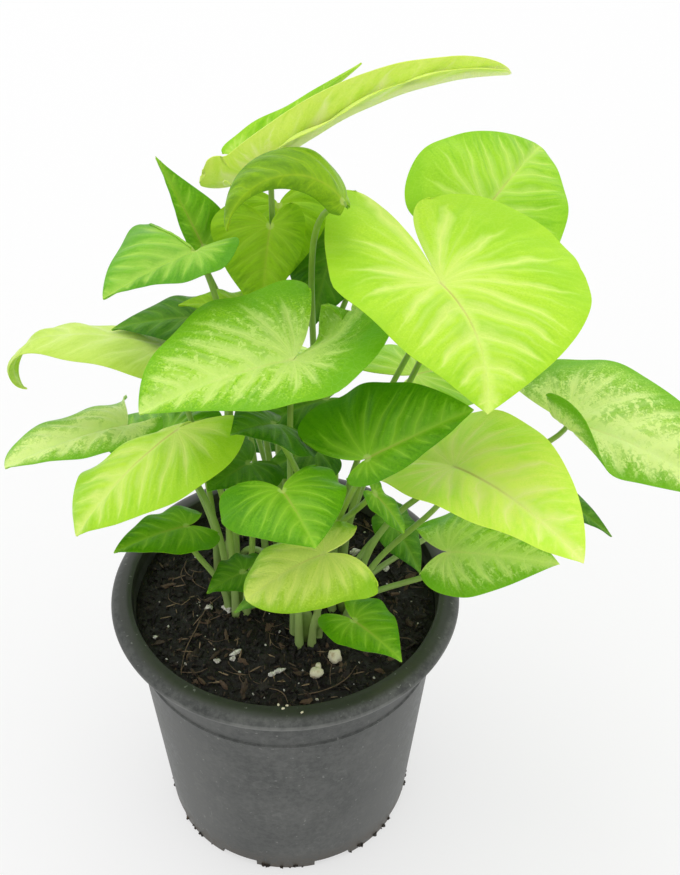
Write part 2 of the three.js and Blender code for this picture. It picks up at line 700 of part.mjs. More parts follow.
function place(name, geometry, surface) {
  const mesh = new THREE.Mesh(geometry, surface);
  mesh.name = name;
  plant.add(mesh);
}

place("pot", makePot(), POT_PLASTIC);
place("soil", makeSoil(), SOIL_MIX);
for (const [name, foot] of Object.entries(STEMS)) {
  place(`stem_${name}`, makeStem(foot), GREEN_STEM);
}
for (const entry of LEAVES) {
  const leaf = { ...LEAF_DEFAULTS, ...entry };
  for (const key of PER_HALF) {
    leaf[key] = [leaf[key], leaf[key]].flat().slice(0, 2);
  }
  place(leaf.name, makeLeaf(leaf), leaf.colour);
}

export default plant;
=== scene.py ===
"""An arrowhead plant growing in a 13 cm nursery pot. Metres, +Z up, the pot's base centred on the origin."""

import math
import random

import bmesh
import bpy
from mathutils import Matrix, Vector, noise


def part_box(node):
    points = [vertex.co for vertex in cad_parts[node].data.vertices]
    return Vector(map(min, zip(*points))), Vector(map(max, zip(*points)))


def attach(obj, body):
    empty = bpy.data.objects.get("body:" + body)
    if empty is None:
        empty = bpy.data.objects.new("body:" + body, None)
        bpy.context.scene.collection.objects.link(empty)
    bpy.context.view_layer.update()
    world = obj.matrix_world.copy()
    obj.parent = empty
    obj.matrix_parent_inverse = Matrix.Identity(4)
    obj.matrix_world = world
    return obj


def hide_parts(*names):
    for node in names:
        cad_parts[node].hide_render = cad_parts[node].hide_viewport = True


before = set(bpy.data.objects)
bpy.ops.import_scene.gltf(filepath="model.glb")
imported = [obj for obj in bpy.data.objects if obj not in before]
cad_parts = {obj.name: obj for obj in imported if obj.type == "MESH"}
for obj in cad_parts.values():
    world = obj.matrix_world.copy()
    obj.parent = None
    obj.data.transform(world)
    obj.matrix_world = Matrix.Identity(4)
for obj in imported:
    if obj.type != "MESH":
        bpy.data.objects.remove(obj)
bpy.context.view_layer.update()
MM = 0.001


# ---- Nursery pot ----
# One thin shell of moulded charcoal plastic, 13 cm across its rolled lip, with one faint ring
# on the wall, a floor raised on a notched foot, and drain holes. It has stood outdoors: a pale
# film of dust and lime covers the wall, and only the lip is wiped dark.

RIM_RADIUS, _, RIM_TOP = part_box("pot")[1]
BASE_RADIUS = 48.7 * MM
WALL_TOP = 107.6 * MM
WALL_TOP_RADIUS = 58 * MM
WALL = 1.4 * MM
POT_FLOOR = 5.2 * MM
FOOT_RECESS = 3.6 * MM
PAD_RADIUS = 15 * MM
FOOT_RING_INNER = 44.5 * MM
BEAD = 87.8 * MM
BEAD_HEIGHT = 1.6 * MM
BEAD_DEPTH = 0.6 * MM
BEAD_STEPS = 8
LIP_ROLL = 3.6 * MM
LIP_STEPS = 9
DRAINS = 8
DRAIN_RADIUS = 3.5 * MM
DRAIN_RING = 29 * MM
NOTCH = (12.4 * MM, 15 * MM, 6.8 * MM)
TURNED_STEPS = 160


def wall_radius(z):
    return BASE_RADIUS + (WALL_TOP_RADIUS - BASE_RADIUS) * z / WALL_TOP


def turned(profile, steps=TURNED_STEPS, centre=(0, 0)):
    """A closed form turned about an upright line through centre, from its (radius, height) profile."""
    bm = bmesh.new()
    axis = Vector((centre[0], centre[1], 0))
    points = [bm.verts.new(axis + Vector((r, 0, z))) for r, z in profile]
    edges = [bm.edges.new(pair) for pair in zip(points, points[1:])]
    bmesh.ops.spin(
        bm, geom=points + edges, axis=(0, 0, 1), cent=axis, angle=2 * math.pi, steps=steps, use_merge=True
    )
    bmesh.ops.remove_doubles(bm, verts=bm.verts, dist=1e-6)
    bmesh.ops.recalc_face_normals(bm, faces=bm.faces)
    return bm


def mesh_of(bm, name="scrap"):
    mesh = bpy.data.meshes.new(name)
    bm.to_mesh(mesh)
    bm.free()
    return mesh


def placed(name, data):
    """A new object in the scene that shows the data."""
    piece = bpy.data.objects.new(name, data)
    bpy.context.scene.collection.objects.link(piece)
    return piece


def applied(piece):
    """The form of a scrap object with its modifiers applied; the object itself is removed."""
    bpy.context.view_layer.update()
    bm = bmesh.new()
    bm.from_object(piece, bpy.context.evaluated_depsgraph_get())
    mesh = piece.data
    bpy.data.objects.remove(piece)
    bpy.data.meshes.remove(mesh)
    return bm


def finished(bm, name, materials, node=None, smooth=40):
    """Makes the piece's object, smooth up to the given angle, and lets it ride with the pot."""
    mesh = mesh_of(bm, name)
    mesh.shade_smooth()
    mesh.set_sharp_from_angle(angle=math.radians(smooth))
    for material in materials:
        mesh.materials.append(material)
    piece = placed(name, mesh)
    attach(piece, "root")
    if node:
        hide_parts(node)


class Value:
    """What a shader node puts out. Sums and products of values add the Math nodes that work them out."""

    def __init__(self, socket):
        self.socket = socket
        self.tree = socket.id_data

    def __add__(self, other):
        return maths("ADD", self, other)

    def __sub__(self, other):
        return maths("SUBTRACT", self, other)

    def __rsub__(self, other):
        return maths("SUBTRACT", other, self)

    def __mul__(self, other):
        return maths("MULTIPLY", self, other)

    def __rmul__(self, other):
        return maths("MULTIPLY", other, self)

    def __truediv__(self, other):
        return maths("DIVIDE", self, other)

    def __abs__(self):
        return maths("ABSOLUTE", self)


def connect(node, sockets):
    """Feeds the node's inputs: each takes a number, a colour or the Value to link there."""
    for name, value in sockets.items():
        if isinstance(value, Value):
            node.id_data.links.new(value.socket, node.inputs[name])
        else:
            node.inputs[name].default_value = value


def shader(tree, kind, sockets, give=0, **settings):
    """Adds one shader node and gives its output called give, or several for a list of them."""
    node = tree.nodes.new("ShaderNode" + kind)
    for name, value in settings.items():
        setattr(node, name, value)
    connect(node, sockets)
    if isinstance(give, (int, str)):
        return Value(node.outputs[give])
    return [Value(node.outputs[name]) for name in give]


def maths(operation, a, b=0.0, clamp=False):
    tree = (a if isinstance(a, Value) else b).tree
    return shader(tree, "Math", {0: a, 1: b}, operation=operation, use_clamp=clamp)


def apart(vector, parts=(0, 1, 2)):
    """The x, y and z of a vector, or those of them that parts names."""
    return shader(vector.tree, "SeparateXYZ", {0: vector}, parts)


def distance(vector):
    return shader(vector.tree, "VectorMath", {0: vector}, "Value", operation="LENGTH")


def between(value, low, high):
    """0 below low, 1 above high and a smooth step between, or the other way round if low is above high."""
    sockets = {"Value": value, "From Min": low, "From Max": high}
    return shader(value.tree, "MapRange", sockets, interpolation_type="SMOOTHSTEP")


def tint(amount, below, above, mode="MIX"):
    """The colour below, covered by the colour above as far as amount says."""
    sockets = {0: amount, 6: below, 7: above}
    tree = next(value.tree for value in sockets.values() if isinstance(value, Value))
    return shader(tree, "Mix", sockets, 2, data_type="RGBA", blend_type=mode)


def grain(where, scale, detail=3.0, roughness=0.5, distortion=0.0):
    sockets = dict(Vector=where, Scale=scale, Detail=detail, Roughness=roughness, Distortion=distortion)
    return shader(where.tree, "TexNoise", sockets)


def stretched(where, scale):
    """The same place with a direction shortened, so that a pattern on it is drawn out that way."""
    return shader(where.tree, "Mapping", {0: where, "Scale": scale})


def new_material(name):
    """An empty material, and the place on the piece in metres that its patterns start from."""
    material = bpy.data.materials.new(name)
    material.use_nodes = True
    return material, shader(material.node_tree, "TexCoord", {}, "Object")


def surfaced(material, colour, roughness, relief=None, strength=0.3, depth=0.3 * MM, **fixed):
    """Feeds the material's surface, with a bump if relief is given. fixed holds further inputs by name."""
    sockets = {"Base Color": colour, "Roughness": roughness}
    sockets.update({name.replace("_", " "): value for name, value in fixed.items()})
    if relief:
        bump = {"Strength": strength, "Distance": depth, "Height": relief}
        sockets["Normal"] = shader(material.node_tree, "Bump", bump)
    connect(material.node_tree.nodes["Principled BSDF"], sockets)
    return material


def nursery_plastic():
    material, where = new_material("nursery_plastic")
    x, y, height = apart(where)
    radius = distance(shader(where.tree, "CombineXYZ", {0: x, 1: y}))
    clouds = grain(where, 38, 4, 0.6)
    mottle = grain(where, 420, 5, 0.72)
    streaks = grain(stretched(where, (1, 1, 0.12)), 210, 4, 0.65)

    # A pale film all over, thicker in clouds and streaks, and wiped off the top of the lip.
    wiped = between(radius, 63.2 * MM, 61.2 * MM) * between(height, 107.5 * MM, 108.5 * MM)
    film = between(clouds, 0.25, 0.8) + (streaks - 0.25) * 0.9 + (between(mottle, 0.36, 0.64) - 0.5) * 0.8
    film = maths("MULTIPLY", film, 0.5 - wiped * 0.45, clamp=True)
    plastic = tint(wiped, (0.022, 0.026, 0.023, 1), (0.022, 0.027, 0.018, 1))
    colour = tint(film, plastic, (0.13, 0.133, 0.126, 1))

    # Dried water drops low on the wall, specks and upright scuffs, and a painted highlight:
    # a pale line round the lip's outer edge, broken up by the film's clouds.
    voronoi = {"Vector": where, "Scale": 130, "Randomness": 1}
    drops, shade = shader(where.tree, "TexVoronoi", voronoi, ("Distance", "Color"))
    rings = between(abs(drops - mottle * 0.62), 0.12, 0.01) * between(apart(shade, 0), 0.62, 0.66)
    rings = rings * between(height, 85 * MM, 70 * MM) * mottle
    specks = between(grain(where, 560, 2, 0.5), 0.69, 0.76)
    scuffs = between(grain(stretched(where, (1, 1, 0.22)), 260, 4, 0.7, 0.6), 0.67, 0.74)
    # Painted highlight: a thin pale line along the lip's outer edge.
    edge_highlight = between(abs(radius - 64.9 * MM), 0.4 * MM, 0.1 * MM) * between(clouds, 0.35, 0.65)
    marks_and_highlight = maths("MAXIMUM", maths("MAXIMUM", specks, scuffs), edge_highlight * 0.6)
    marks_and_highlight = maths("MAXIMUM", marks_and_highlight * 0.34, rings * 0.1)
    colour = tint(marks_and_highlight, colour, (0.34, 0.35, 0.32, 1))

    # Brown grime at the foot, and algae inside the lip just above the soil.
    grime = between(height, 14 * MM, 0.0) * between(mottle, 0.35, 0.55)
    algae = between(radius, 57.4 * MM, 56.8 * MM) * between(height, 100 * MM, 104 * MM)
    algae = algae * between(clouds, 0.45, 0.65)
    colour = tint(grime * 0.8, colour, (0.06, 0.046, 0.03, 1))
    colour = tint(algae * 0.8, colour, (0.07, 0.075, 0.045, 1))
    roughness = film * 0.28 + mottle * 0.14 + 0.3
    relief = grain(where, 900, 3, 0.6) + scuffs * 0.5
    return surfaced(material, colour, roughness, relief, 0.14, 0.4 * MM)


def pot_profile():
    """Half the pot's cross-section, from the middle of its underside round the lip to its floor."""
    points = [(0, 0), (PAD_RADIUS, 0), (PAD_RADIUS + MM, FOOT_RECESS), (FOOT_RING_INNER, FOOT_RECESS)]
    points += [(FOOT_RING_INNER + 0.6 * MM, 0), (BASE_RADIUS - 0.5 * MM, 0)]
    points.append((wall_radius(0.6 * MM), 0.6 * MM))
    for step in range(BEAD_STEPS + 1):
        height = BEAD + BEAD_HEIGHT * step / BEAD_STEPS
        points.append((wall_radius(height) + BEAD_DEPTH * math.sin(math.pi * step / BEAD_STEPS), height))
    points.append((WALL_TOP_RADIUS, WALL_TOP))
    edge = RIM_TOP - LIP_ROLL
    points += [(RIM_RADIUS - 1.3 * MM, edge - 1.3 * MM), (RIM_RADIUS - 0.3 * MM, edge - 0.9 * MM)]
    points.append((RIM_RADIUS, edge))
    for step in range(1, LIP_STEPS):
        turn = math.radians(90) * step / LIP_STEPS
        reach = RIM_RADIUS - WALL_TOP_RADIUS - 0.4 * MM
        points.append((RIM_RADIUS - reach * (1 - math.cos(turn)) ** 0.9, edge + LIP_ROLL * math.sin(turn)))
    points += [(WALL_TOP_RADIUS + 0.2 * MM, RIM_TOP), (WALL_TOP_RADIUS - 0.7 * MM, RIM_TOP - 0.3 * MM)]
    points += [(WALL_TOP_RADIUS - 1.1 * MM, RIM_TOP - 1.2 * MM), (WALL_TOP_RADIUS - WALL, WALL_TOP)]
    points.append((wall_radius(POT_FLOOR + MM) - WALL, POT_FLOOR + MM))
    points += [(wall_radius(POT_FLOOR) - WALL - MM, POT_FLOOR), (0, POT_FLOOR)]
    return points


def cut_away(bm, cutters):
    """The form left when every closed cutter is taken out of bm."""
    body, tool = (placed("scrap", mesh_of(form)) for form in (bm, cutters))
    body.modifiers.new("cut", "BOOLEAN").object = tool
    left = applied(body)
    bpy.data.objects.remove(tool)
    return left


def pot_cutters():
    """The drain holes, and between them the notches that let the water out under the foot."""
    cutters = bmesh.new()
    half_turn = Matrix.Rotation(math.pi / DRAINS, 4, "Z")
    size = Matrix.Diagonal((*NOTCH, 1))
    for i in range(DRAINS):
        turn = Matrix.Rotation(2 * math.pi * i / DRAINS, 4, "Z")
        bmesh.ops.create_cone(
            cutters, cap_ends=True, segments=32, radius1=DRAIN_RADIUS, radius2=DRAIN_RADIUS, depth=12 * MM,
            matrix=turn @ Matrix.Translation((DRAIN_RING, 0, 3 * MM)),
        )
        notch = turn @ half_turn @ Matrix.Translation((BASE_RADIUS, 0, 0)) @ size
        bmesh.ops.create_cube(cutters, size=1, matrix=notch)
    return cutters


pot = cut_away(turned(pot_profile()), pot_cutters())
finished(pot, "nursery_pot", [nursery_plastic()], "pot", 35)


# ---- Potting mix ----
# Dark damp peat that fills the pot to 8 mm under its rim. Bark chips, coir fibres, white perlite and
# a few cream stones lie in its top. The pieces are pressed a little way into the peat.

SOIL_TOP = 105 * MM
SOIL_REACH = wall_radius(SOIL_TOP) - WALL - 0.1 * MM
SOIL_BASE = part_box("soil")[0].z
PEAT_STEPS = 300
PEAT_RINGS = 110
STEMS = {
    "left": (-17, -5),
    "front": (8, -20),
    "right": (22, -6),
    "middle": (-3, 8),
    "back_right": (17, 14),
    "back_left": (-22, 14),
    "back": (0, 28),
}
mix = random.Random(5)


def soil_height(x, y):
    """The height of the peat's rough top, heaped a little round the stems and rolled down at the wall."""
    place = Vector((x, y, 0)) / MM
    lumps = noise.fractal(place * 0.075, 0.9, 2.1, 4)
    crumbs = noise.fractal(place * 0.33 + Vector((7, 3, 1)), 0.8, 2.0, 3)
    edge = max(0, math.hypot(x, y) - 48 * MM) / MM
    mound = sum(math.exp(-math.hypot(x / MM - sx, y / MM - sy) ** 2 / 60) for sx, sy in STEMS.values())
    return SOIL_TOP + (1.0 * lumps + 0.75 * crumbs + 1.3 * mound - 0.012 * edge * edge) * MM


def on_peat(x, y, lift):
    """The point that lies lift over the peat at x and y, which are in millimetres."""
    return Vector((x * MM, y * MM, soil_height(x * MM, y * MM) + lift))


def potting_mix():
    material, where = new_material("potting_mix")
    tone = shader(where.tree, "Attribute", {}, "Color", attribute_name="tone")
    lumps = grain(where, 420, 5, 0.7)
    peat = tint(between(lumps, 0.45, 0.75), (0.003, 0.0024, 0.0017, 1), (0.021, 0.014, 0.0085, 1))
    flecks = between(grain(stretched(where, (1, 0.3, 1)), 900, 2, 0.5), 0.64, 0.72)
    colour = tint(flecks * 0.6, peat, (0.15, 0.1, 0.055, 1))
    colour = tint(1.0, colour, tone, "ADD")
    damp = between(lumps, 0.3, 0.6) * 0.5 + 0.34
    return surfaced(material, colour, damp, grain(where, 1500, 4, 0.7), 0.6, 0.8 * MM)


def peat():
    top = [(SOIL_REACH * (1 - step / PEAT_RINGS), SOIL_TOP) for step in range(PEAT_RINGS + 1)]
    bottom = wall_radius(SOIL_BASE) - WALL - 0.3 * MM
    side = [(0, SOIL_BASE), (bottom, SOIL_BASE), (SOIL_REACH - 0.3 * MM, SOIL_TOP - 4 * MM)]
    bm = turned(side + top, PEAT_STEPS)
    for vert in bm.verts:
        if vert.co.z > SOIL_TOP - MM:
            vert.co.z = soil_height(vert.co.x, vert.co.y)
    return bm


def lump(bm, place, size, detail, rough, tone=(0, 0, 0), turn=None, tilt=0.3):
    """Adds one irregular grain or chip to bm: size is its three half lengths, rough its unevenness."""
    if turn is None:
        turn = mix.uniform(0, 2 * math.pi)
    lean = Matrix.Rotation(mix.uniform(-tilt, tilt), 4, "X")
    lean = lean @ Matrix.Rotation(mix.uniform(-tilt, tilt), 4, "Y")
    matrix = Matrix.Translation(place) @ Matrix.Rotation(turn, 4, "Z") @ lean
    grains = bmesh.ops.create_icosphere(bm, subdivisions=detail, radius=1)["verts"]
    seed = Vector((mix.uniform(0, 90), mix.uniform(0, 90), mix.uniform(0, 90)))
    layer = bm.verts.layers.float_color["tone"]
    for vert in grains:
        push = 1 + rough * 2 * noise.noise(vert.co * 1.3 + seed)
        push = push + rough * noise.noise(vert.co * 3.1 + seed)
        vert.co = matrix @ Vector([c * push * s for c, s in zip(vert.co, size)])
        vert[layer] = (*tone, 1)


def scattered(count, margin):
    """Even random places on the peat, all but margin in from the wall, as points on its surface."""
    places = []
    for _ in range(count):
        radius = (SOIL_REACH - margin) * math.sqrt(mix.random())
        turn = mix.uniform(0, 2 * math.pi)
        x, y = radius * math.cos(turn), radius * math.sin(turn)
        places.append(Vector((x, y, soil_height(x, y))))
    return places


def toned():
    bm = bmesh.new()
    bm.verts.layers.float_color.new("tone")
    return bm


mix_material = potting_mix()
finished(peat(), "peat", [mix_material], "soil", 180)

crumbs = toned()
for spot in scattered(2600, 2 * MM):
    width = mix.uniform(0.35, 1.15) * MM
    dark = mix.uniform(0, 0.02) ** 1.25
    size = (width * mix.uniform(1, 1.8), width, width * 0.7)
    lump(crumbs, spot, size, 1, 0.45, (dark, dark * 0.7, dark * 0.45), tilt=1.5)
for x, y in STEMS.values():
    for _ in range(90):
        turn, away = mix.uniform(0, 2 * math.pi), mix.uniform(3.5, 9) * MM
        spot = Vector((x * MM + away * math.cos(turn), y * MM + away * math.sin(turn), 0))
        spot.z = soil_height(spot.x, spot.y) + 0.5 * MM
        width = mix.uniform(0.6, 1.5) * MM
        lump(crumbs, spot, (width * 1.3, width, width * 0.8), 1, 0.45, (0.002, 0.0015, 0.001), tilt=1.5)
finished(crumbs, "peat_crumbs", [mix_material], smooth=35)

chips = toned()
for spot in scattered(330, 4 * MM):
    length = mix.uniform(0.9, 3.1) * MM
    red = mix.choice((0.003, 0.009, 0.022, 0.05, 0.1))
    size = (length, length * mix.uniform(0.22, 0.5), mix.uniform(0.3, 0.6) * MM)
    lump(chips, spot + Vector((0, 0, 0.5 * MM)), size, 2, 0.42, (red, red * 0.6, red * 0.34), tilt=0.7)
for spot in scattered(130, 5 * MM):
    tan = mix.uniform(0.06, 0.34)
    size = (mix.uniform(0.9, 2.8) * MM, mix.uniform(0.14, 0.3) * MM, mix.uniform(0.12, 0.24) * MM)
    lump(chips, spot + Vector((0, 0, MM)), size, 2, 0.2, (tan, tan * 0.7, tan * 0.42), tilt=0.35)
finished(chips, "bark_chips", [mix_material], smooth=25)


def perlite_material():
    material, where = new_material("perlite")
    pits = grain(where, 1400, 3, 0.6)
    colour = tint(between(pits, 0.3, 0.62), (0.34, 0.31, 0.25, 1), (0.86, 0.84, 0.78, 1))
    return surfaced(material, colour, 0.85, pits, 0.5, 0.4 * MM)


def cream_stone():
    material, where = new_material("cream_stone")
    stain = grain(where, 500, 4, 0.6)
    colour = tint(between(stain, 0.5, 0.75), (0.84, 0.8, 0.58, 1), (0.55, 0.44, 0.24, 1))
    return surfaced(material, colour, 0.7, stain, 0.3, 0.5 * MM)


# Perlite: (x, y, length, width, turn in degrees) of the larger white pieces, then small ones at random.
PERLITE = (
    (-21.3, -7.8, 2.0, 1.8, 0), (-28.5, -6.4, 1.5, 1.2, 40), (-17.0, -27.7, 2.0, 1.0, 35),
    (-18.0, -30.4, 1.2, 0.8, 10), (-23.6, -31.5, 1.2, 0.9, 0), (-0.8, -36.3, 2.0, 1.0, 25),
    (-3.5, -38.0, 1.3, 0.9, 20), (-47.1, -20.5, 0.9, 0.6, 0), (-39.2, -38.3, 1.5, 0.7, -20),
    (26.0, 24.0, 1.9, 1.4, 60), (-4.0, 44.0, 1.6, 1.2, 15), (38.0, 15.0, 1.4, 1.1, 75),
    (-34.0, 30.0, 1.7, 1.2, 5),
)
perlite = toned()
for x, y, length, width, turn in PERLITE:
    size = (length * MM, width * MM, width * 0.8 * MM)
    lump(perlite, on_peat(x, y, 0.9 * width * MM), size, 3, 0.3, turn=math.radians(turn))
for spot in scattered(120, 4 * MM):
    width = mix.uniform(0.14, 0.5) * MM
    lump(perlite, spot + Vector((0, 0, width * 0.8)), (width * 1.3, width, width), 1, 0.3)
finished(perlite, "perlite", [perlite_material()], smooth=60)

# Cream stones: three on the soil, as (x, y, length, width, turn), and grit caught on the lip.
STONES = ((12.1, -37.6, 2.4, 2.2, 0), (12.9, -34.6, 1.0, 1.4, 0), (18.9, -30.4, 2.4, 2.6, 70))
LIP_GRIT = ((1.3, -58.6), (2.6, -57.4), (7.8, -60.2), (-0.4, -57.0))
stones = toned()
for x, y, length, width, turn in STONES:
    size = (length * MM, width * MM, width * MM)
    lump(stones, on_peat(x, y, 0.9 * width * MM), size, 3, 0.16, turn=math.radians(turn))
for x, y in LIP_GRIT:
    lump(stones, Vector((x, y, 113.0)) * MM, (0.55 * MM, 0.4 * MM, 0.35 * MM), 2, 0.3)
finished(stones, "cream_stones", [cream_stone()], smooth=60)

# Bits of damp mix cling to the pot's foot, between the notches.
NOTCH_CLEARANCE = 8.2 * MM
clods = toned()
for _ in range(110):
    turn = mix.uniform(0, 2 * math.pi)
    width = mix.uniform(0.3, 0.85) * MM
    height = width * 1.5 + mix.uniform(0, 1) ** 2 * 1.6 * MM
    off_notch = abs((turn * DRAINS / (2 * math.pi)) % 1 - 0.5) * 2 * math.pi / DRAINS
    if off_notch * BASE_RADIUS > NOTCH_CLEARANCE:
        spot = Vector((math.cos(turn), math.sin(turn), 0)) * wall_radius(height) + Vector((0, 0, height))
        lump(clods, spot, (width * 1.1, width * 1.1, width * 0.8), 2, 0.4, (0.02, 0.014, 0.009), tilt=0.3)
finished(clods, "foot_clods", [mix_material], smooth=40)


# Coir and root fibres lie loose over the peat. Each is a thin curve through a few points on it.

def coir():
    material, where = new_material("coir")
    colour = tint(grain(where, 300, 3), (0.05, 0.032, 0.02, 1), (0.26, 0.18, 0.11, 1))
    return surfaced(material, colour, 0.8)


def new_tube(kind, bevel, sides):
    """A curve that is a closed round tube, and its one empty spline."""
    curve = bpy.data.curves.new("tube", "CURVE")
    curve.dimensions = "3D"
    curve.bevel_depth = bevel
    curve.bevel_resolution = sides
    curve.use_fill_caps = True
    return curve, curve.splines.new(kind)


def tube_form(curve):
    """The tube's surface as a bmesh; the curve is removed."""
    holder = bpy.data.objects.new("tube", curve)
    bm = bmesh.new()
    bm.from_mesh(holder.to_mesh())
    holder.to_mesh_clear()
    bpy.data.objects.remove(holder)
    bpy.data.curves.remove(curve)
    return bm


def strand(points, thick):
    """A closed thin tube along a smooth curve through the points, thinner at its ends."""
    curve, spline = new_tube("BEZIER", 1, 1)
    curve.resolution_u = 4
    spline.bezier_points.add(len(points) - 1)
    for i, (knot, place) in enumerate(zip(spline.bezier_points, points)):
        knot.co = place
        knot.handle_left_type = knot.handle_right_type = "AUTO"
        knot.radius = thick * (0.45 if i in (0, len(points) - 1) else 1)
    return tube_form(curve)


def joined(forms):
    """One bmesh that holds every form, each of which is freed."""
    scrap = bpy.data.meshes.new("scrap")
    whole = bmesh.new()
    for form in forms:
        form.to_mesh(scrap)
        form.free()
        whole.from_mesh(scrap)
    bpy.data.meshes.remove(scrap)
    return whole


# The longest fibres listed as (x, y) in millimetres along each, then short ones at random.
LONG_FIBRES = (
    ((-21, 2), (-28.9, -6), (-32.4, -16.8), (-35.2, -26.5), (-36.2, -36.5)),
    ((-39, 17), (-40.5, 10), (-38.1, 4.7)),
    ((6, -47), (13.7, -45.1), (22.4, -40.5), (26.5, -33.5)),
    ((20, 44), (32, 36), (44, 22)),
)
fibres = []
for run in LONG_FIBRES:
    fibres.append(strand([on_peat(x, y, 1.3 * MM) for x, y in run], 0.2 * MM))
for spot in scattered(75, 9 * MM):
    heading = mix.uniform(0, 2 * math.pi)
    bend = mix.uniform(-1.2, 1.2)
    reach = mix.uniform(1.5, 4) * MM
    lie = []
    for i in range(4):
        angle = heading + bend * i / 3
        x, y, _ = spot + Vector((math.cos(angle), math.sin(angle), 0)) * reach * i
        x, y = Vector((x, y)) * min(1, (SOIL_REACH - 2 * MM) / math.hypot(x, y))
        lie.append(Vector((x, y, soil_height(x, y) + mix.uniform(0.3, 1.4) * MM)))
    fibres.append(strand(lie, mix.uniform(0.07, 0.19) * MM))
finished(joined(fibres), "coir_fibres", [coir()], smooth=80)


# ---- Stems ----
# Short jointed green shoots, 6 mm thick, that come up through the mix close together. Each ends in
# a blunt sheath among the stalks that rise from it.

STEM_RADIUS = 2.9 * MM
STEM_STEPS = 24


def stem_skin():
    material, where = new_material("stem_skin")
    height = apart(where, 2)
    lines = grain(stretched(where, (1, 1, 0.08)), 900, 3, 0.6)
    colour = tint(lines, (0.12, 0.21, 0.03, 1), (0.3, 0.44, 0.1, 1))
    earthy = between(height, 112 * MM, 104 * MM) * between(lines, 0.3, 0.6)
    colour = tint(earthy, colour, (0.05, 0.035, 0.018, 1))
    return surfaced(material, colour, 0.45, lines, 0.25)


stem_material = stem_skin()
for name, (x, y) in STEMS.items():
    foot, top = (corner.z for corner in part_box("stem_" + name))
    outline = [(0, foot), (2.6 * MM, foot)]
    for step in range(STEM_STEPS + 1):
        up = step / STEM_STEPS
        joint = 0.35 * MM * math.exp(-((up - 0.62) / 0.04) ** 2)
        waist = (1 - 0.12 * math.sin(math.pi * up)) * (1 - max(0, up - 0.8) ** 2 * 14)
        outline.append((STEM_RADIUS * waist + joint, foot + (top - foot) * up * 0.985))
    outline.append((0, top))
    shoot = turned(outline, 32, (x * MM, y * MM))
    finished(shoot, "shoot_" + name, [stem_material], "stem_" + name, 50)


# ---- Leaves ----
# Each leaf is one soft living piece: a long slender stalk and a thin arrow-shaped or heart-shaped
# blade, two halves on a sunken midrib with a lobe behind the stalk on each side. Side veins leave the
# midrib towards the tip and fan out into the lobes, and the blade puffs up a little between them.

LOBE_SHARE = 0.36  # share of the rows of a half blade that lie in its lobe
BLADE_THICKNESS = 0.42 * MM
RIB_DEPTH = 1.6 * MM
MIDRIB_STEPS = 48
SMALL_BLADE = 30  # length up to which a leaf counts as small; a Blade is in millimetres and degrees
BIG_BLADE_GRID = (64, 24)
SMALL_BLADE_GRID = (36, 13)
VEIN_LEAN = 0.62  # how far a side vein runs forward for each millimetre out
LOBE_VEIN_SPREAD = math.radians(27)
WAVE_HEIGHT = 0.8
STALK_OFF_STEM = 4.6
STALK_FOOT = 105.3
STALK_STEPS = 24


def cubic(a, b, c, d, t):
    """The point at t on a Bezier curve, for numbers or vectors."""
    s = 1 - t
    return a * s ** 3 + b * 3 * s * s * t + c * 3 * s * t * t + d * t ** 3


def both(value):
    """A value for the left and the right half, from a pair or from one value that serves both."""
    return value if isinstance(value, tuple) else (value, value)


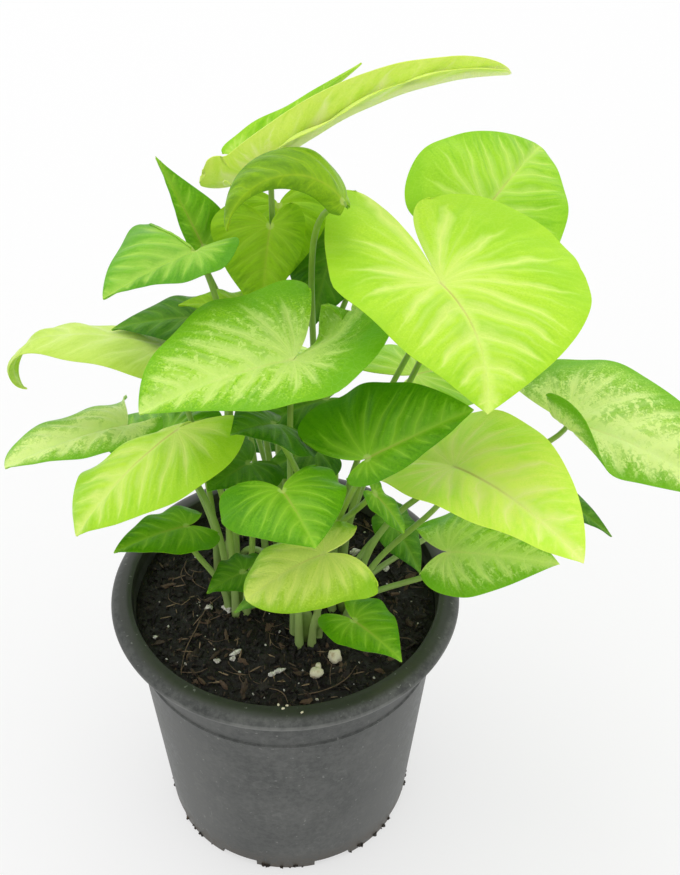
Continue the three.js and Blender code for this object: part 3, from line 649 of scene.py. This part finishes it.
class Blade:
    """Where each point of one leaf's flat outline lies once the blade is arched, folded and bowed."""

    def __init__(
        self, look, stem, side, at, tip, half, lobe, wrap=0, point=0.3, belly=0.04, full=0.2, roll=0,
        curl=20, hook=0, sweep=0, droop=10, fold=8, bow=25, flap=None, rise=0.45, via=None,
    ):
        self.look, self.stem, self.side = look, stem, side
        self.sweep, self.flap, self.rise, self.via = sweep, flap, rise, via
        self.half, self.lobe, self.wrap = both(half), both(lobe), both(wrap)
        self.point, self.belly, self.full = both(point), both(belly), both(full)
        self.curl, self.hook = math.radians(curl), math.radians(hook)
        self.droop, self.fold, self.bow = (
            [math.radians(part) for part in both(angle)] for angle in (droop, fold, bow)
        )
        self.at = Vector(at)
        chord = Vector(tip) - self.at
        self.along = chord.normalized()
        level = (Vector((0, 0, 1)) - self.along * self.along.z).normalized()
        turn = Matrix.Rotation(-math.radians(roll), 3, self.along)
        self.up = turn @ level
        self.across = turn @ level.cross(self.along)
        self.xs, self.zs = [0], [0]
        for i in range(MIDRIB_STEPS):
            heading = self.heading((i + 0.5) / MIDRIB_STEPS)
            self.xs.append(self.xs[-1] + math.cos(heading) / MIDRIB_STEPS)
            self.zs.append(self.zs[-1] + math.sin(heading) / MIDRIB_STEPS)
        self.start = -math.atan2(self.zs[-1], self.xs[-1])
        self.length = chord.length / math.hypot(self.xs[-1], self.zs[-1])
        self.vein_gap = self.length / (4.4 if self.length > SMALL_BLADE else 3.6)

    def heading(self, u):
        return -(self.curl * u + self.hook * u ** 5)

    def outline(self, t, side):
        """The margin and the inner edge (sinus, then midrib) at t, 0 at the lobe's tip, 1 at the leaf's."""
        i = 0 if side > 0 else 1
        width, lobe, wrap = self.half[i], self.lobe[i], self.wrap[i]
        belly, full, rounded = self.belly[i], self.full[i], 1 - self.point[i]
        tip = self.length
        start, widest = Vector((-lobe, 0.5 * width - 1.3 * wrap)), Vector((belly * tip, width))
        if t < LOBE_SHARE:
            t = t / LOBE_SHARE
            end = Vector((-lobe * (1 + 0.22 * rounded), width * (0.62 + 0.2 * rounded) - wrap))
            flank = Vector((-0.45 * lobe, width * (1 - max(0, belly - 0.04))))
            margin = cubic(start, end, flank, widest, t)
            notch = Vector((-lobe * (0.88 + 0.1 * rounded), width * (0.45 - 0.22 * rounded) - 1.3 * wrap))
            sinus = Vector((-0.45 * lobe, 0.05 * width - 0.3 * wrap))
            inner = cubic(start, notch, sinus, Vector((0, 0)), t)
            return margin, inner
        t = (t - LOBE_SHARE) / (1 - LOBE_SHARE)
        flank = Vector((max(0.38, belly + 0.1) * tip, width))
        shoulder = Vector(((0.68 + 0.16 * full) * tip, (0.2 + 0.5 * full) * width))
        margin = cubic(widest, flank, shoulder, Vector((tip, 0)), t)
        return margin, Vector((t * tip, 0))

    def vein(self, x, y):
        """The side vein at x and y, counted from the stalk with parts of one between, and the gap there."""
        sweep = 0.5 / max(self.half)
        phase = (x - VEIN_LEAN * y - sweep * y * y) / self.vein_gap
        if phase >= 0:
            return phase, self.vein_gap * 0.85
        reach = math.hypot(x, y)
        first = math.atan2(1, VEIN_LEAN + sweep * y)
        phase = -(math.atan2(y, x) - first) / LOBE_VEIN_SPREAD
        return phase, max(0.3, min(self.vein_gap, reach * LOBE_VEIN_SPREAD))

    def bent(self, flat, side):
        """Where a flat point lies, and the upper face's normal there, before any flap is turned over."""
        i = 0 if side > 0 else 1
        x, y = flat
        shift = 0.0
        if x >= 0:
            step = min(MIDRIB_STEPS - 1, int(x / self.length * MIDRIB_STEPS))
            part = x / self.length * MIDRIB_STEPS - step
            mx = self.xs[step] + (self.xs[step + 1] - self.xs[step]) * part
            mz = self.zs[step] + (self.zs[step + 1] - self.zs[step]) * part
            ahead = self.length * (mx * math.cos(self.start) - mz * math.sin(self.start))
            above = self.length * (mx * math.sin(self.start) + mz * math.cos(self.start))
            heading = self.start + self.heading(x / self.length)
            shift = 4 * self.sweep * x / self.length * (1 - x / self.length)
        else:
            bend = self.droop[i] / max(self.lobe)
            heading = self.start - bend * x
            ahead, above = x * math.cos(heading), x * math.sin(heading)
            if bend:
                ahead = (math.sin(self.start) - math.sin(heading)) / bend
                above = (math.cos(heading) - math.cos(self.start)) / bend
        normal = self.up * math.cos(heading) - self.along * math.sin(heading)
        lift, curve = self.fold[i], self.bow[i] / self.half[i]
        out, off = y * math.cos(lift), y * math.sin(lift)
        if curve:
            out = (math.sin(lift) - math.sin(lift - curve * y)) / curve
            off = (math.cos(lift - curve * y) - math.cos(lift)) / curve
        lean = (lift - curve * y) * min(1, y / 2)
        point = self.at + self.along * ahead + self.up * above
        point = point + self.across * (side * out + shift) + normal * off
        return point, normal * math.cos(lean) - self.across * (side * math.sin(lean))

    def place(self, x, y, side, relief=0.0):
        """Where the flat point (x, y) lies, raised off the blade by relief, with the flap turned over."""
        flat = Vector((x, y))
        if self.flap and self.flap["side"] == side:
            root = Vector((self.flap["root"], 0))
            crease = (Vector((self.flap["rim"], self.half[0 if side > 0 else 1])) - root).normalized()
            outward = Vector((-crease.y, crease.x))
            beyond = (flat - root).dot(outward)
            if beyond > 0:
                hinge = root + crease * (flat - root).dot(crease)
                point, _ = self.bent(hinge, side)
                forward = self.bent(hinge + crease * 0.01, side)[0] - point
                away = self.bent(hinge + outward * 0.01, side)[0] - point
                normal = forward.cross(away).normalized()
                if normal.dot(self.up) < 0:
                    normal.negate()
                away = (away - normal * away.dot(normal)).normalized()
                angle, radius = math.radians(self.flap["angle"]), self.flap["radius"]
                turn, way = min(beyond / radius, abs(angle)), math.copysign(1, angle)
                rest = beyond - turn * radius
                point += away * (radius * math.sin(turn) + rest * math.cos(turn))
                point += normal * way * (radius * (1 - math.cos(turn)) + rest * math.sin(turn))
                return point + (normal * math.cos(turn) - away * way * math.sin(turn)) * relief
        point, normal = self.bent(flat, side)
        return point + normal * relief

    def relief(self, x, y, edge, side):
        """How far the upper face stands off the smooth blade, by its groove, puffs and waves."""
        i = 0 if side > 0 else 1
        phase, gap = self.vein(x, y)
        groove = -0.3 * math.exp(-(y / 1.1) ** 2) if x > -1 else 0
        swell = 0.5 - 0.5 * math.cos(2 * math.pi * phase)
        puff = 0.13 * min(gap, 10) * swell ** 0.8 * min(1, y / 4) * max(0, 1 - edge ** 3)
        roll = 1.3 * noise.noise(Vector((x, side * y, self.at.x)) / 17) * min(1, y / 8)
        turn = 4.2 * math.pi * x / self.length + 2.1 * side + self.at.x
        ripple = WAVE_HEIGHT * (y / self.half[i]) ** 2 * math.sin(turn)
        return groove + puff + roll + ripple


def half_blade(bm, blade, side, rows, strips):
    """Adds one half of a blade to bm as a grid bent into place, with its flat place and veins as UV maps."""
    flat, veins, gaps = (bm.loops.layers.uv[name] for name in ("flat", "veins", "gaps"))
    weight = bm.verts.layers.deform.verify()
    known = set(bm.faces)
    verts = bmesh.ops.create_grid(bm, x_segments=rows, y_segments=strips, size=0.5)["verts"]
    drawn = {}
    for vert in verts:
        t, across = vert.co.x + 0.5, vert.co.y + 0.5
        margin, inner = blade.outline(t, side)
        x, y = inner.lerp(margin, across)
        edge = across if t > LOBE_SHARE else min(1, across + 0.6 * (1 - t / LOBE_SHARE))
        phase, gap = blade.vein(x, y)
        drawn[vert] = (x, y, phase, edge, gap)
        vert.co = blade.place(x, y, side, blade.relief(x, y, edge, side)) * MM
        along = max(0, x / blade.length)
        rib = math.exp(-(y / (1.6 - 0.9 * along)) ** 2) * (1 - 0.75 * along) * (1 if x > -1 else 0)
        side_rib = 0.16 * max(0, math.cos(2 * math.pi * phase)) ** 4 * max(0, 1 - edge * 1.1)
        thin = BLADE_THICKNESS / RIB_DEPTH * (1 - 0.4 * edge ** 4)
        vert[weight][0] = min(1, thin + (1 - thin) * max(rib, side_rib))
    new = [face for face in bm.faces if face not in known]
    for face in new:
        for loop in face.loops:
            x, y, phase, edge, gap = drawn[loop.vert]
            loop[flat].uv = (x, side * y)
            loop[veins].uv = (phase, edge)
            loop[gaps].uv = (gap, blade.length)
    if side < 0:
        bmesh.ops.reverse_faces(bm, faces=new)


def stalk(blade):
    """The leaf's stalk: a smooth round tube, stout beside the stem, that bends in under the blade."""
    stem_x, stem_y = STEMS[blade.stem]
    bearing = math.radians(blade.side)
    off_x, off_y = STALK_OFF_STEM * math.cos(bearing), STALK_OFF_STEM * math.sin(bearing)
    foot = Vector((stem_x + off_x, stem_y + off_y, STALK_FOOT))
    first = foot + Vector((0, 0, blade.rise * (blade.at.z - foot.z)))
    last = blade.at - blade.up * 1.1
    second = blade.at - blade.up * 0.3 * (blade.at - foot).length
    if blade.via:
        second = Vector(blade.via)
    rooted = foot + Vector((-1.2 * math.cos(bearing), -1.2 * math.sin(bearing), -4))
    points, radii = [rooted], [1.7]
    for step in range(STALK_STEPS + 1):
        t = step / STALK_STEPS
        points.append(cubic(foot, first, second, last, t))
        radii.append(1.15 + 0.6 * math.exp(-t * 9) - 0.2 * t)
    radii[-1] = 0.9
    curve, spline = new_tube("POLY", MM, 3)
    spline.points.add(len(points) - 1)
    for knot, place, radius in zip(spline.points, points, radii):
        knot.co = (*(place * MM), 1)
        knot.radius = radius
    bm = tube_form(curve)
    for face in bm.faces:
        face.material_index = 2
    return bm


def leaf_form(blade):
    """The whole leaf as a bmesh: upper face, under face and stalk in material places 0, 1 and 2."""
    bm = bmesh.new()
    for name in ("flat", "veins", "gaps"):
        bm.loops.layers.uv.new(name)
    for side in (1, -1):
        half_blade(bm, blade, side, *(BIG_BLADE_GRID if blade.length > SMALL_BLADE else SMALL_BLADE_GRID))
    bmesh.ops.remove_doubles(bm, verts=bm.verts, dist=0.004 * MM)
    holder = placed("blade", mesh_of(bm, "blade"))
    holder.vertex_groups.new(name="thickness")
    shell = holder.modifiers.new("shell", "SOLIDIFY")
    shell.thickness = RIB_DEPTH
    shell.offset = -1
    shell.vertex_group = "thickness"
    shell.material_offset = 1
    shell.use_even_offset = False
    return joined([applied(holder), stalk(blade)])


def vein_pattern():
    """The veins of a blade as a node group, read from its own UV maps, all in millimetres.

    Band is the soft feathered strip along each vein, as wide as Spread. Line and Midrib are the thin ribs
    in it, and Heart is the spot where the stalk joins. Edge runs from 0 at the midrib to 1 at the margin and
    Along from 0 at the stalk to 1 at the tip. Streak is a noise drawn out along the veins, Mottle and Fine
    are even ones, and Net is the fine network between the veins.
    """
    group = bpy.data.node_groups.new("leaf veins", "ShaderNodeTree")
    group.interface.new_socket("Spread", in_out="INPUT", socket_type="NodeSocketFloat")
    spread = Value(group.nodes.new("NodeGroupInput").outputs[0])
    flat, veins, gaps = (shader(group, "UVMap", {}, uv_map=name) for name in ("flat", "veins", "gaps"))
    phase, edge = apart(veins, (0, 1))
    gap, length = apart(gaps, (0, 1))
    x, y = apart(flat, (0, 1))
    off_midrib = abs(y)
    behind = between(x, -1.5, 0.5)

    # Noise drawn out along the veins, and the veins' own slight wander.
    streak = grain(shader(group, "CombineXYZ", {0: phase * 5.5, 1: edge * 2.4, 2: length * 0.7}), 1, 5, 0.62)
    ragged = streak - 0.5
    phase = phase + (grain(flat, 0.09, 2) - 0.5) * 0.5

    # How far a point is off the nearest vein, off a weaker one halfway, and off the finest ones.
    off_vein, off_second, off_third = (
        maths("PINGPONG", phase * often + shift, 0.5) * (gap / often)
        for often, shift in ((1, 0.0), (1, 0.5), (4, 0.0))
    )
    width = spread * between(edge, 1.15, 0.0)
    broken = ragged * (width * 3.4)
    low = width * -0.5
    bands = [
        share * between(off + broken, width * broad, low)
        for off, share, broad in ((off_vein, 1.0, 2.1), (off_second, 0.4, 1.2))
    ]
    band = maths("MAXIMUM", *bands) * between(edge, 1.02, 0.6)
    middle = between(off_midrib + ragged * 4.0, spread * 1.5, 0.0) * behind
    lines = [between(off, 0.4, 0.05) * share for off, share in ((off_vein, 1.0), (off_third, 0.2))]
    voronoi = {"Vector": flat, "Scale": 0.5, "Randomness": 0.9}
    net = shader(group, "TexVoronoi", voronoi, "Distance", feature="DISTANCE_TO_EDGE")
    results = {
        "Band": maths("MAXIMUM", band, middle),
        "Line": maths("MAXIMUM", *lines) * between(edge, 1.0, 0.5),
        "Midrib": between(off_midrib, 0.62, 0.15) * behind,
        "Heart": between(distance(flat), 1.7, 0.9),
        "Edge": edge,
        "Along": x / length,
        "Streak": streak,
        "Mottle": grain(flat, 0.42, 5, 0.68, 0.6),
        "Fine": grain(flat, 1.5, 4, 0.62, 0.3),
        "Net": between(net, 0.1, 0.02),
    }
    for name in results:
        group.interface.new_socket(name, in_out="OUTPUT", socket_type="NodeSocketFloat")
    connect(group.nodes.new("NodeGroupOutput"), results)
    return group


VEINS = vein_pattern()


def leaf_skin(
    name, deep, light, cream, spread, creamy, mottled, flecks, rim, reddish, gloss=0.4, veins_out=False
):
    """A face of a leaf. deep and light green make its ground in streaks; cream lies along its veins.

    creamy is how much cream lies there, mottled how much is scattered between the veins, flecks how much deep
    green blotches the outer blade, rim how green the margin is and reddish the midrib's blush near the stalk.
    The veins sink into the upper face, and stand out where veins_out is set.
    """
    material, where = new_material(name)
    deep, light, cream = ((*colour, 1) for colour in (deep, light, cream))
    veins = shader(where.tree, "Group", {"Spread": spread}, range(10), node_tree=VEINS)
    band, line, midrib, heart, edge, along, streak, mottle, fine, net = veins
    ground = tint(between(streak * 0.6 + grain(where, 40) * 0.4, 0.4, 0.6), deep, light)
    patches = between(mottle + band * 0.16, 0.66 - 0.2 * mottled, 0.74 - 0.14 * mottled) * mottled
    patches = patches * between(edge, 1.0, 0.6)
    dappled = fine * 0.9 + 0.55
    colour = tint(maths("MAXIMUM", band * creamy * dappled, patches), ground, cream)
    blotch = fine * 0.55 + streak * 0.45
    blotch = between(blotch + edge * 0.16, 0.58, 0.66) * (1.0 - band * 0.75)
    colour = tint(blotch * flecks, colour, deep)
    colour = tint(between(edge + fine * 0.1, 0.92, 1.04) * rim, colour, deep)
    colour = tint(net * 0.05, colour, cream)
    colour = tint(maths("MAXIMUM", line, midrib) * 0.36, colour, cream)
    colour = tint(midrib * between(along, 0.75, 0.0) * reddish, colour, (0.5, 0.3, 0.12, 1))
    colour = tint(heart * 0.35, colour, (0.74, 0.84, 0.3, 1))
    ribs = line * 0.8 + net * 0.3
    relief = ribs * (1 if veins_out else -1) + fine * 0.5
    return surfaced(
        material, colour, fine * 0.2 + (gloss - 0.1), relief, Specular_IOR_Level=0.15, Subsurface_Weight=0.4,
        Subsurface_Radius=(0.9, 1, 0.25), Subsurface_Scale=MM,
    )


def stalk_skin():
    material, where = new_material("stalk_skin")
    height = apart(where, 2)
    lines = grain(stretched(where, (1, 1, 0.06)), 1100, 3, 0.6)
    blush = grain(where, 60, 3, 0.5)
    colour = tint(lines, (0.16, 0.31, 0.02, 1), (0.3, 0.5, 0.06, 1))
    colour = tint(between(height, 160 * MM, 106 * MM), colour, (0.36, 0.52, 0.16, 1))
    colour = tint(between(blush, 0.5, 0.7) * 0.25, colour, (0.2, 0.19, 0.05, 1))
    return surfaced(material, colour, 0.4, lines, 0.2)


# The finishes: ground greens, cream, then the amounts that leaf_skin takes. A few are lighter or darker
# than a leaf's own green, as painted light and painted shade; each of those says so.
LOOKS = {
    "sunlit": dict(
        deep=(0.36, 0.68, 0.02), light=(0.52, 0.8, 0.045), cream=(0.74, 0.9, 0.22), spread=2.6, creamy=0.8,
        mottled=0.25, flecks=0.45, rim=0.4, reddish=0.4,
    ),
    "clear": dict(
        deep=(0.25, 0.56, 0.012), light=(0.4, 0.7, 0.03), cream=(0.64, 0.84, 0.17), spread=2.0, creamy=0.6,
        mottled=0.15, flecks=0.4, rim=0.5, reddish=0.3,
    ),
    "netted": dict(
        deep=(0.17, 0.46, 0.008), light=(0.36, 0.67, 0.025), cream=(0.68, 0.87, 0.24), spread=3.4,
        creamy=0.8, mottled=0.7, flecks=0.75, rim=0.6, reddish=0.1,
    ),
    "frosted": dict(
        deep=(0.18, 0.46, 0.015), light=(0.5, 0.75, 0.12), cream=(0.74, 0.9, 0.32), spread=5.0, creamy=0.9,
        mottled=0.9, flecks=0.75, rim=0.85, reddish=0.1,
    ),
    "pale": dict(
        deep=(0.48, 0.7, 0.08), light=(0.6, 0.8, 0.15), cream=(0.72, 0.87, 0.27), spread=2, creamy=0.5,
        mottled=0.4, flecks=0.3, rim=0.3, reddish=0.0,
    ),
    # Painted light: a green far lighter than a leaf's own, for a leaf in the shade of the big leaf over it,
    # standing in for the light that shines through that leaf.
    "painted_glow": dict(
        deep=(0.57, 0.92, 0.07), light=(0.74, 0.98, 0.14), cream=(0.9, 0.99, 0.34), spread=2.4, creamy=0.7,
        mottled=0.25, flecks=0.35, rim=0.3, reddish=0.4,
    ),
    "butter": dict(
        deep=(0.26, 0.52, 0.01), light=(0.5, 0.73, 0.05), cream=(0.76, 0.88, 0.2), spread=5.0, creamy=0.9,
        mottled=0.6, flecks=0.5, rim=0.8, reddish=0.2,
    ),
    "milky": dict(
        deep=(0.62, 0.84, 0.12), light=(0.78, 0.93, 0.24), cream=(0.93, 0.99, 0.58), spread=2.8,
        creamy=0.9, mottled=0.3, flecks=0.3, rim=0.2, reddish=0.0,
    ),
    "horn": dict(
        deep=(0.1, 0.34, 0.008), light=(0.19, 0.5, 0.018), cream=(0.42, 0.68, 0.09), spread=2.6,
        creamy=0.8, mottled=0.3, flecks=0.5, rim=0.6, reddish=0.0,
    ),
    # A plain yellow green with little cream, its own colour, darkened as painted shade for leaves that stand
    # in the shade of others.
    "golden_in_shade": dict(
        deep=(0.2, 0.42, 0.003), light=(0.33, 0.6, 0.01), cream=(0.46, 0.7, 0.04), spread=1.6, creamy=0.4,
        mottled=0.1, flecks=0.3, rim=0.2, reddish=0.1,
    ),
    # Painted shade: a dark olive green for the arched leaf, darker than its own green because it arches over
    # into its own shade.
    "olive_in_shade": dict(
        deep=(0.11, 0.27, 0.002), light=(0.25, 0.47, 0.004), cream=(0.35, 0.58, 0.012), spread=1.6,
        creamy=0.35, mottled=0.1, flecks=0.4, rim=0.85, reddish=0.1,
    ),
    "deep": dict(
        deep=(0.035, 0.15, 0.002), light=(0.09, 0.28, 0.006), cream=(0.2, 0.42, 0.03), spread=1.6,
        creamy=0.5, mottled=0.4, flecks=0.3, rim=0.4, reddish=0.1,
    ),
    "fresh": dict(
        deep=(0.08, 0.28, 0.001), light=(0.16, 0.43, 0.004), cream=(0.34, 0.62, 0.04), spread=1.5,
        creamy=0.6, mottled=0.4, flecks=0.5, rim=0.4, reddish=0.3,
    ),
}

# How light a finish's under face is beside its upper face: painted shade and painted light. Most under
# faces are darkened a little as painted shade, frosted ones more as painted shade in their folds, and the
# other two are kept as light as their upper faces as painted light shining through the leaf.
UNDER_SHARE = {"frosted": 0.5, "painted_glow": 1.0, "milky": 1.0}
USUAL_UNDER_SHARE = 0.85


def under_look(look):
    """The finish of the dull under face for this look, its light green scaled as painted shade and light."""
    light = tuple(c * UNDER_SHARE.get(look, USUAL_UNDER_SHARE) for c in LOOKS[look]["light"])
    return dict(
        LOOKS[look], light=light, cream=light, spread=1.4, mottled=0.1, flecks=0.15, rim=0.0, reddish=0.0,
        gloss=0.6, veins_out=True,
    )


# Each leaf takes, in this order:
# look, stem, side: its finish, its shoot and the bearing round it, in degrees, that the stalk starts from
# at, tip: where the stalk meets the blade, and the blade's point, in millimetres
# half, lobe: half width and lobe length, in millimetres
# and then what makes it depart from a plain leaf. What belongs to a half is one value for both, or a pair
# with the left half first, seen from the stalk:
# wrap: how far the lobe closes in over the sinus, in millimetres; sweep: how far the midrib bows sideways
# point, full: how pointed the lobe and how broad the tip; belly: where along the blade it is widest
# roll, curl, hook, droop: degrees that the blade leans, arches, hooks at its tip and bends its lobes
# fold, bow: degrees that a half lifts off the midrib, and bends down to its margin
# flap: the part of a half that is turned over along a crease, from root on the midrib to rim on the margin
# rise, via: how the stalk bends
LEAVES = {
    "big_right": Blade(
        "sunlit", "back_right", -20, (50, -5, 252), (62, -52, 239), (46, 35), (40, 44), wrap=(12, 0),
        point=(0.05, 0.3), belly=(-0.14, 0.02), full=0.6, roll=-8, curl=15, sweep=4.5, droop=0,
        fold=(-3, 24), bow=15,
    ),
    "back_right": Blade(
        "clear", "back_right", 70, (67, 40, 251), (89, 80, 253), (29, 27), (16, 15), point=0.1, full=0.6,
        roll=-15, droop=25, fold=(20, 5), bow=20,
    ),
    "far_right": Blade(
        "frosted", "right", 20, (98, 5, 189), (150, -16, 173), (31, 16), (26, 12), point=(0.6, 0.5),
        full=(0.9, 0.6), roll=-10, curl=38, droop=33, fold=(15, -12), bow=(25, 16),
        flap=dict(side=-1, angle=110, root=1, rim=34, radius=4), rise=0.9,
    ),
    "low_right": Blade(
        "painted_glow", "right", -30, (57, -22, 192), (94, -64, 191), (26, 20), (34, 30), wrap=(8, 0), point=0.2,
        full=0.7, roll=-5, curl=40, droop=20, fold=(25, 8), bow=(20, 10),
    ),
    "under_right": Blade(
        "netted", "right", -80, (57, -22, 153), (92, -40, 166), (22, 16), (18, 12), point=0.7, full=0.4,
        roll=-10, curl=12, fold=(8, -40), bow=20,
    ),
    "centre_big": Blade(
        "netted", "front", 160, (5, -22, 235), (-41, -38, 226), (22, 34), (30, 13), wrap=(33, -8),
        point=(-3.2, 0.1), full=(0.6, 1), roll=-10, droop=(-25, 0), fold=(0, 25), bow=(20, 15),
        via=(2, -12, 200),
    ),
    "centre_right": Blade(
        "fresh", "front", 30, (28, -40, 211), (60, -34, 226), (27, 9), (17, 8), full=0.6, roll=-20, curl=8,
        droop=-40, fold=5, bow=(25, 20), via=(17, -29, 165),
    ),
    "left_low": Blade(
        "sunlit", "left", 255, (-33, -18, 203), (-66, -38, 174), (26, 25), (18, 8), wrap=(0, 3), point=0.5,
        belly=(0.04, 0.62), full=(0.5, 1.2), curl=30, fold=(8, -13), bow=(20, 0),
        flap=dict(side=-1, angle=-120, root=-1, rim=46, radius=5),
    ),
    "left_pale": Blade(
        "frosted", "left", 150, (-54, 8, 183), (-92, -15, 183), (15, 20), (11, 8), wrap=(0, -11),
        point=(0.8, 0.95), full=(0.8, 1.2), roll=-10, droop=-40, rise=0.85, via=(-42, 8, 174),
    ),
    "left_droop": Blade(
        "pale", "back_left", 195, (-41, 15, 212.5), (-88, 13, 193.5), (22, 19), 16, full=(0.3, 0.9),
        roll=-18, curl=35, hook=150, fold=0,
    ),
    "left_horn": Blade(
        "horn", "left", 100, (-26.5, 10, 253.2), (-54.5, -5, 244.9), (15, 31), (14, -6), wrap=(6, -8),
        point=0.5, belly=(0.04, 0.25), full=(0.1, 0.6), roll=-10, curl=12, fold=(5, 12), bow=(25, 20),
        rise=0.7, via=(-15, 5, 232),
    ),
    "spear": Blade(
        "milky", "middle", 30, (-4, 38, 267), (73, 52, 294), 14, (28, 24), wrap=(0, -5), point=(-1.6, 0),
        belly=(-0.25, -0.1), full=1.2, roll=-25, curl=66, droop=(-85, -90), fold=(83, 70), bow=(10, 20),
        via=(-4, 34, 242),
    ),
    "arched": Blade(
        "olive_in_shade", "back_right", 190, (20, 0, 277.5), (-15, -9, 272), (6, 21), (4, 6), point=0.8,
        full=(0.1, 0.5), roll=-10, curl=140, droop=45, fold=(-60, 20), bow=(20, 30), rise=0.75,
        via=(3, 20, 262),
    ),
    "centre_low": Blade(
        "fresh", "front", 240, (2.5, -54, 210.2), (13, -74, 206), (20, 21), (8, 10), wrap=(-4, 0),
        point=0.2, full=0.6, curl=25, bow=40, via=(3, -30, 185),
    ),
    "pale_low": Blade(
        "butter", "front", -60, (15, -50, 179.5), (-9.5, -61, 169.5), 19, 14, wrap=(-5, 0), point=0,
        belly=(-0.2, 0.04), full=(1.3, 1.4), roll=-10, curl=30, droop=20, bow=(75, 30),
    ),
    "back_centre": Blade(
        "golden_in_shade", "middle", 80, (-2, 48, 247), (-5, 32, 219), 17, (8, 4), via=(-3, 54, 236),
    ),
    "rear_left": Blade("clear", "back", 150, (-22, 52, 182), (-46, 86, 158), 24, 14),
    "rear_mid": Blade("netted", "back", 45, (11, 57, 174), (6, 96, 150), 21, 13),
    "rear_right": Blade("clear", "back_right", 25, (47, 42, 180), (80, 70, 160), 24, 18),
    "peek_right": Blade("deep", "right", 70, (88, 30, 142), (123, 16, 124), 12, 10),
    "left_dark": Blade(
        "deep", "back_left", 90, (-26, 26, 216), (-58, 20, 215), (17, 14), 8, rise=0.6, via=(-17, 26, 188),
    ),
    "left_bright": Blade("golden_in_shade", "middle", 170, (-14, 24, 222), (-35, 22, 224), 9, 8),
    "horn_spike": Blade(
        "fresh", "back", 200, (-26.5, 34, 238.5), (-42.5, 50, 264), (5, 12), (8, 5), point=0.5, full=0,
        roll=20, curl=15, fold=(25, 20), rise=0.8,
    ),
    "sliver": Blade(
        "clear", "back", 260, (-16, 57, 261.5), (25, 70, 288.5), (6, 7), 4, curl=-10, fold=45, rise=0.5,
        via=(-20, 66, 235),
    ),
    "front_small": Blade("fresh", "front", -10, (25, -45, 143), (41, -60, 140), (14, 11), 10),
    "left_small": Blade("fresh", "left", 208, (-33, -14, 156), (-56, -30, 159), (13, 11), 9, full=0.5),
    "left_floor": Blade("deep", "left", -55, (-13, -28, 148), (-25, -36, 146), 9, 9),
    "centre_dark": Blade("deep", "left", -8, (-10, -19, 190), (-23, -31, 188), (14, 18), (7, 8)),
    "centre_shade": Blade(
        "deep", "middle", 340, (11, 4, 176), (-10, -5, 171), (15, 8), 6, rise=0.75, via=(12, 6, 165),
    ),
    "inner_dark": Blade(
        "deep", "right", 190, (-1, -25, 212), (-14, -36, 217), (19, 14), 8, via=(5, -24, 191),
    ),
    "bud": Blade(
        "fresh", "front", 90, (31, -36, 192.5), (41, -39, 178), 6, 4, full=0.9, rise=0.6,
        via=(23, -24, 168),
    ),
    "behind_right": Blade("deep", "right", 110, (40, 6, 138), (50, -4, 123), 9, 7),
    "back_pale": Blade("pale", "back_right", 115, (17, 56, 228), (-1, 70, 232), 14, 14),
    "rear_side": Blade("fresh", "back_left", 140, (-44, 32, 160), (-77, 54, 140), 20, 16),
    "rear_low": Blade("deep", "back", 95, (6, 54, 140), (2, 88, 128), 26, 10),
    "inner_low": Blade(
        "deep", "back_right", 280, (15, -1, 203), (-10, -11, 197), (14, 13), 8, rise=0.9, via=(20, 2, 165),
    ),
    "back_left": Blade(
        "golden_in_shade", "back_left", 280, (-4, 30, 250), (-7, 16, 222), (12, 20), (8, 6), rise=0.75,
        via=(-3, 28, 199),
    ),
    "back_dark": Blade(
        "deep", "back", 350, (18, 43, 238), (9, 27, 210), (17, 20), 9, rise=0.9, via=(36, 43, 215),
    ),
    "under_pale": Blade(
        "deep", "back_left", 20, (4.5, -56, 171), (-14, -58, 160.5), (6, 9), 6, via=(16, -54, 160),
    ),
}

stalk_material = stalk_skin()
upper_skins = {look: leaf_skin("leaf_" + look, **amounts) for look, amounts in LOOKS.items()}
under_skins = {look: leaf_skin("leaf_" + look + "_under", **under_look(look)) for look in LOOKS}
for name, blade in LEAVES.items():
    skins = [upper_skins[blade.look], under_skins[blade.look], stalk_material]
    finished(leaf_form(blade), name, skins, "leaf_" + name, 50)


# ---- Studio ----
# A plain pale floor under broad soft light, seen from in front and above.

def studio_paper():
    material, _ = new_material("studio_paper")
    return surfaced(material, (0.33, 0.33, 0.33, 1), 0.9, Emission_Color=(1, 1, 1, 1), Emission_Strength=0.59)


bm = bmesh.new()
bmesh.ops.create_circle(bm, cap_ends=True, segments=96, radius=6)
floor = placed("floor", mesh_of(bm, "floor"))
floor.data.materials.append(studio_paper())

world = bpy.data.worlds.new("soft_daylight")
world.use_nodes = True
x, y, z = apart(shader(world.node_tree, "TexCoord", {}, "Generated"))
glow = z * 0.5 + y * 0.12 + abs(x) * 0.35 + 0.56
connect(world.node_tree.nodes["Background"], {"Strength": glow, "Color": (1, 1, 1, 1)})
bpy.context.scene.world = world

light = bpy.data.lights.new("top_light", "AREA")
light.shape = "DISK"
light.size = 1.6
light.energy = 9
top_light = placed("top_light", light)
LIGHT_PLACE = Vector((-0.4, 0.4, 2.6))
top_light.location = LIGHT_PLACE
top_light.rotation_euler = (Vector((0, 0, 0.1)) - LIGHT_PLACE).to_track_quat("-Z", "Y").to_euler()

CAMERA_ELEVATION = math.radians(40.5)
CAMERA_ROLL = math.radians(0.68)
CAMERA_PLACE = (0.01965, -0.36214, 0.49428)
CAMERA_LENS = 57.6

lens = bpy.data.cameras.new("camera")
lens.sensor_fit = "VERTICAL"
lens.sensor_height = 36
lens.lens = CAMERA_LENS
lens.clip_start = 0.01
camera = placed("camera", lens)
tilt = Matrix.Rotation(math.radians(90) - CAMERA_ELEVATION, 4, "X")
camera.matrix_world = Matrix.Translation(CAMERA_PLACE) @ tilt @ Matrix.Rotation(CAMERA_ROLL, 4, "Z")
bpy.context.scene.camera = camera
bpy.context.scene.view_settings.view_transform = "Standard"
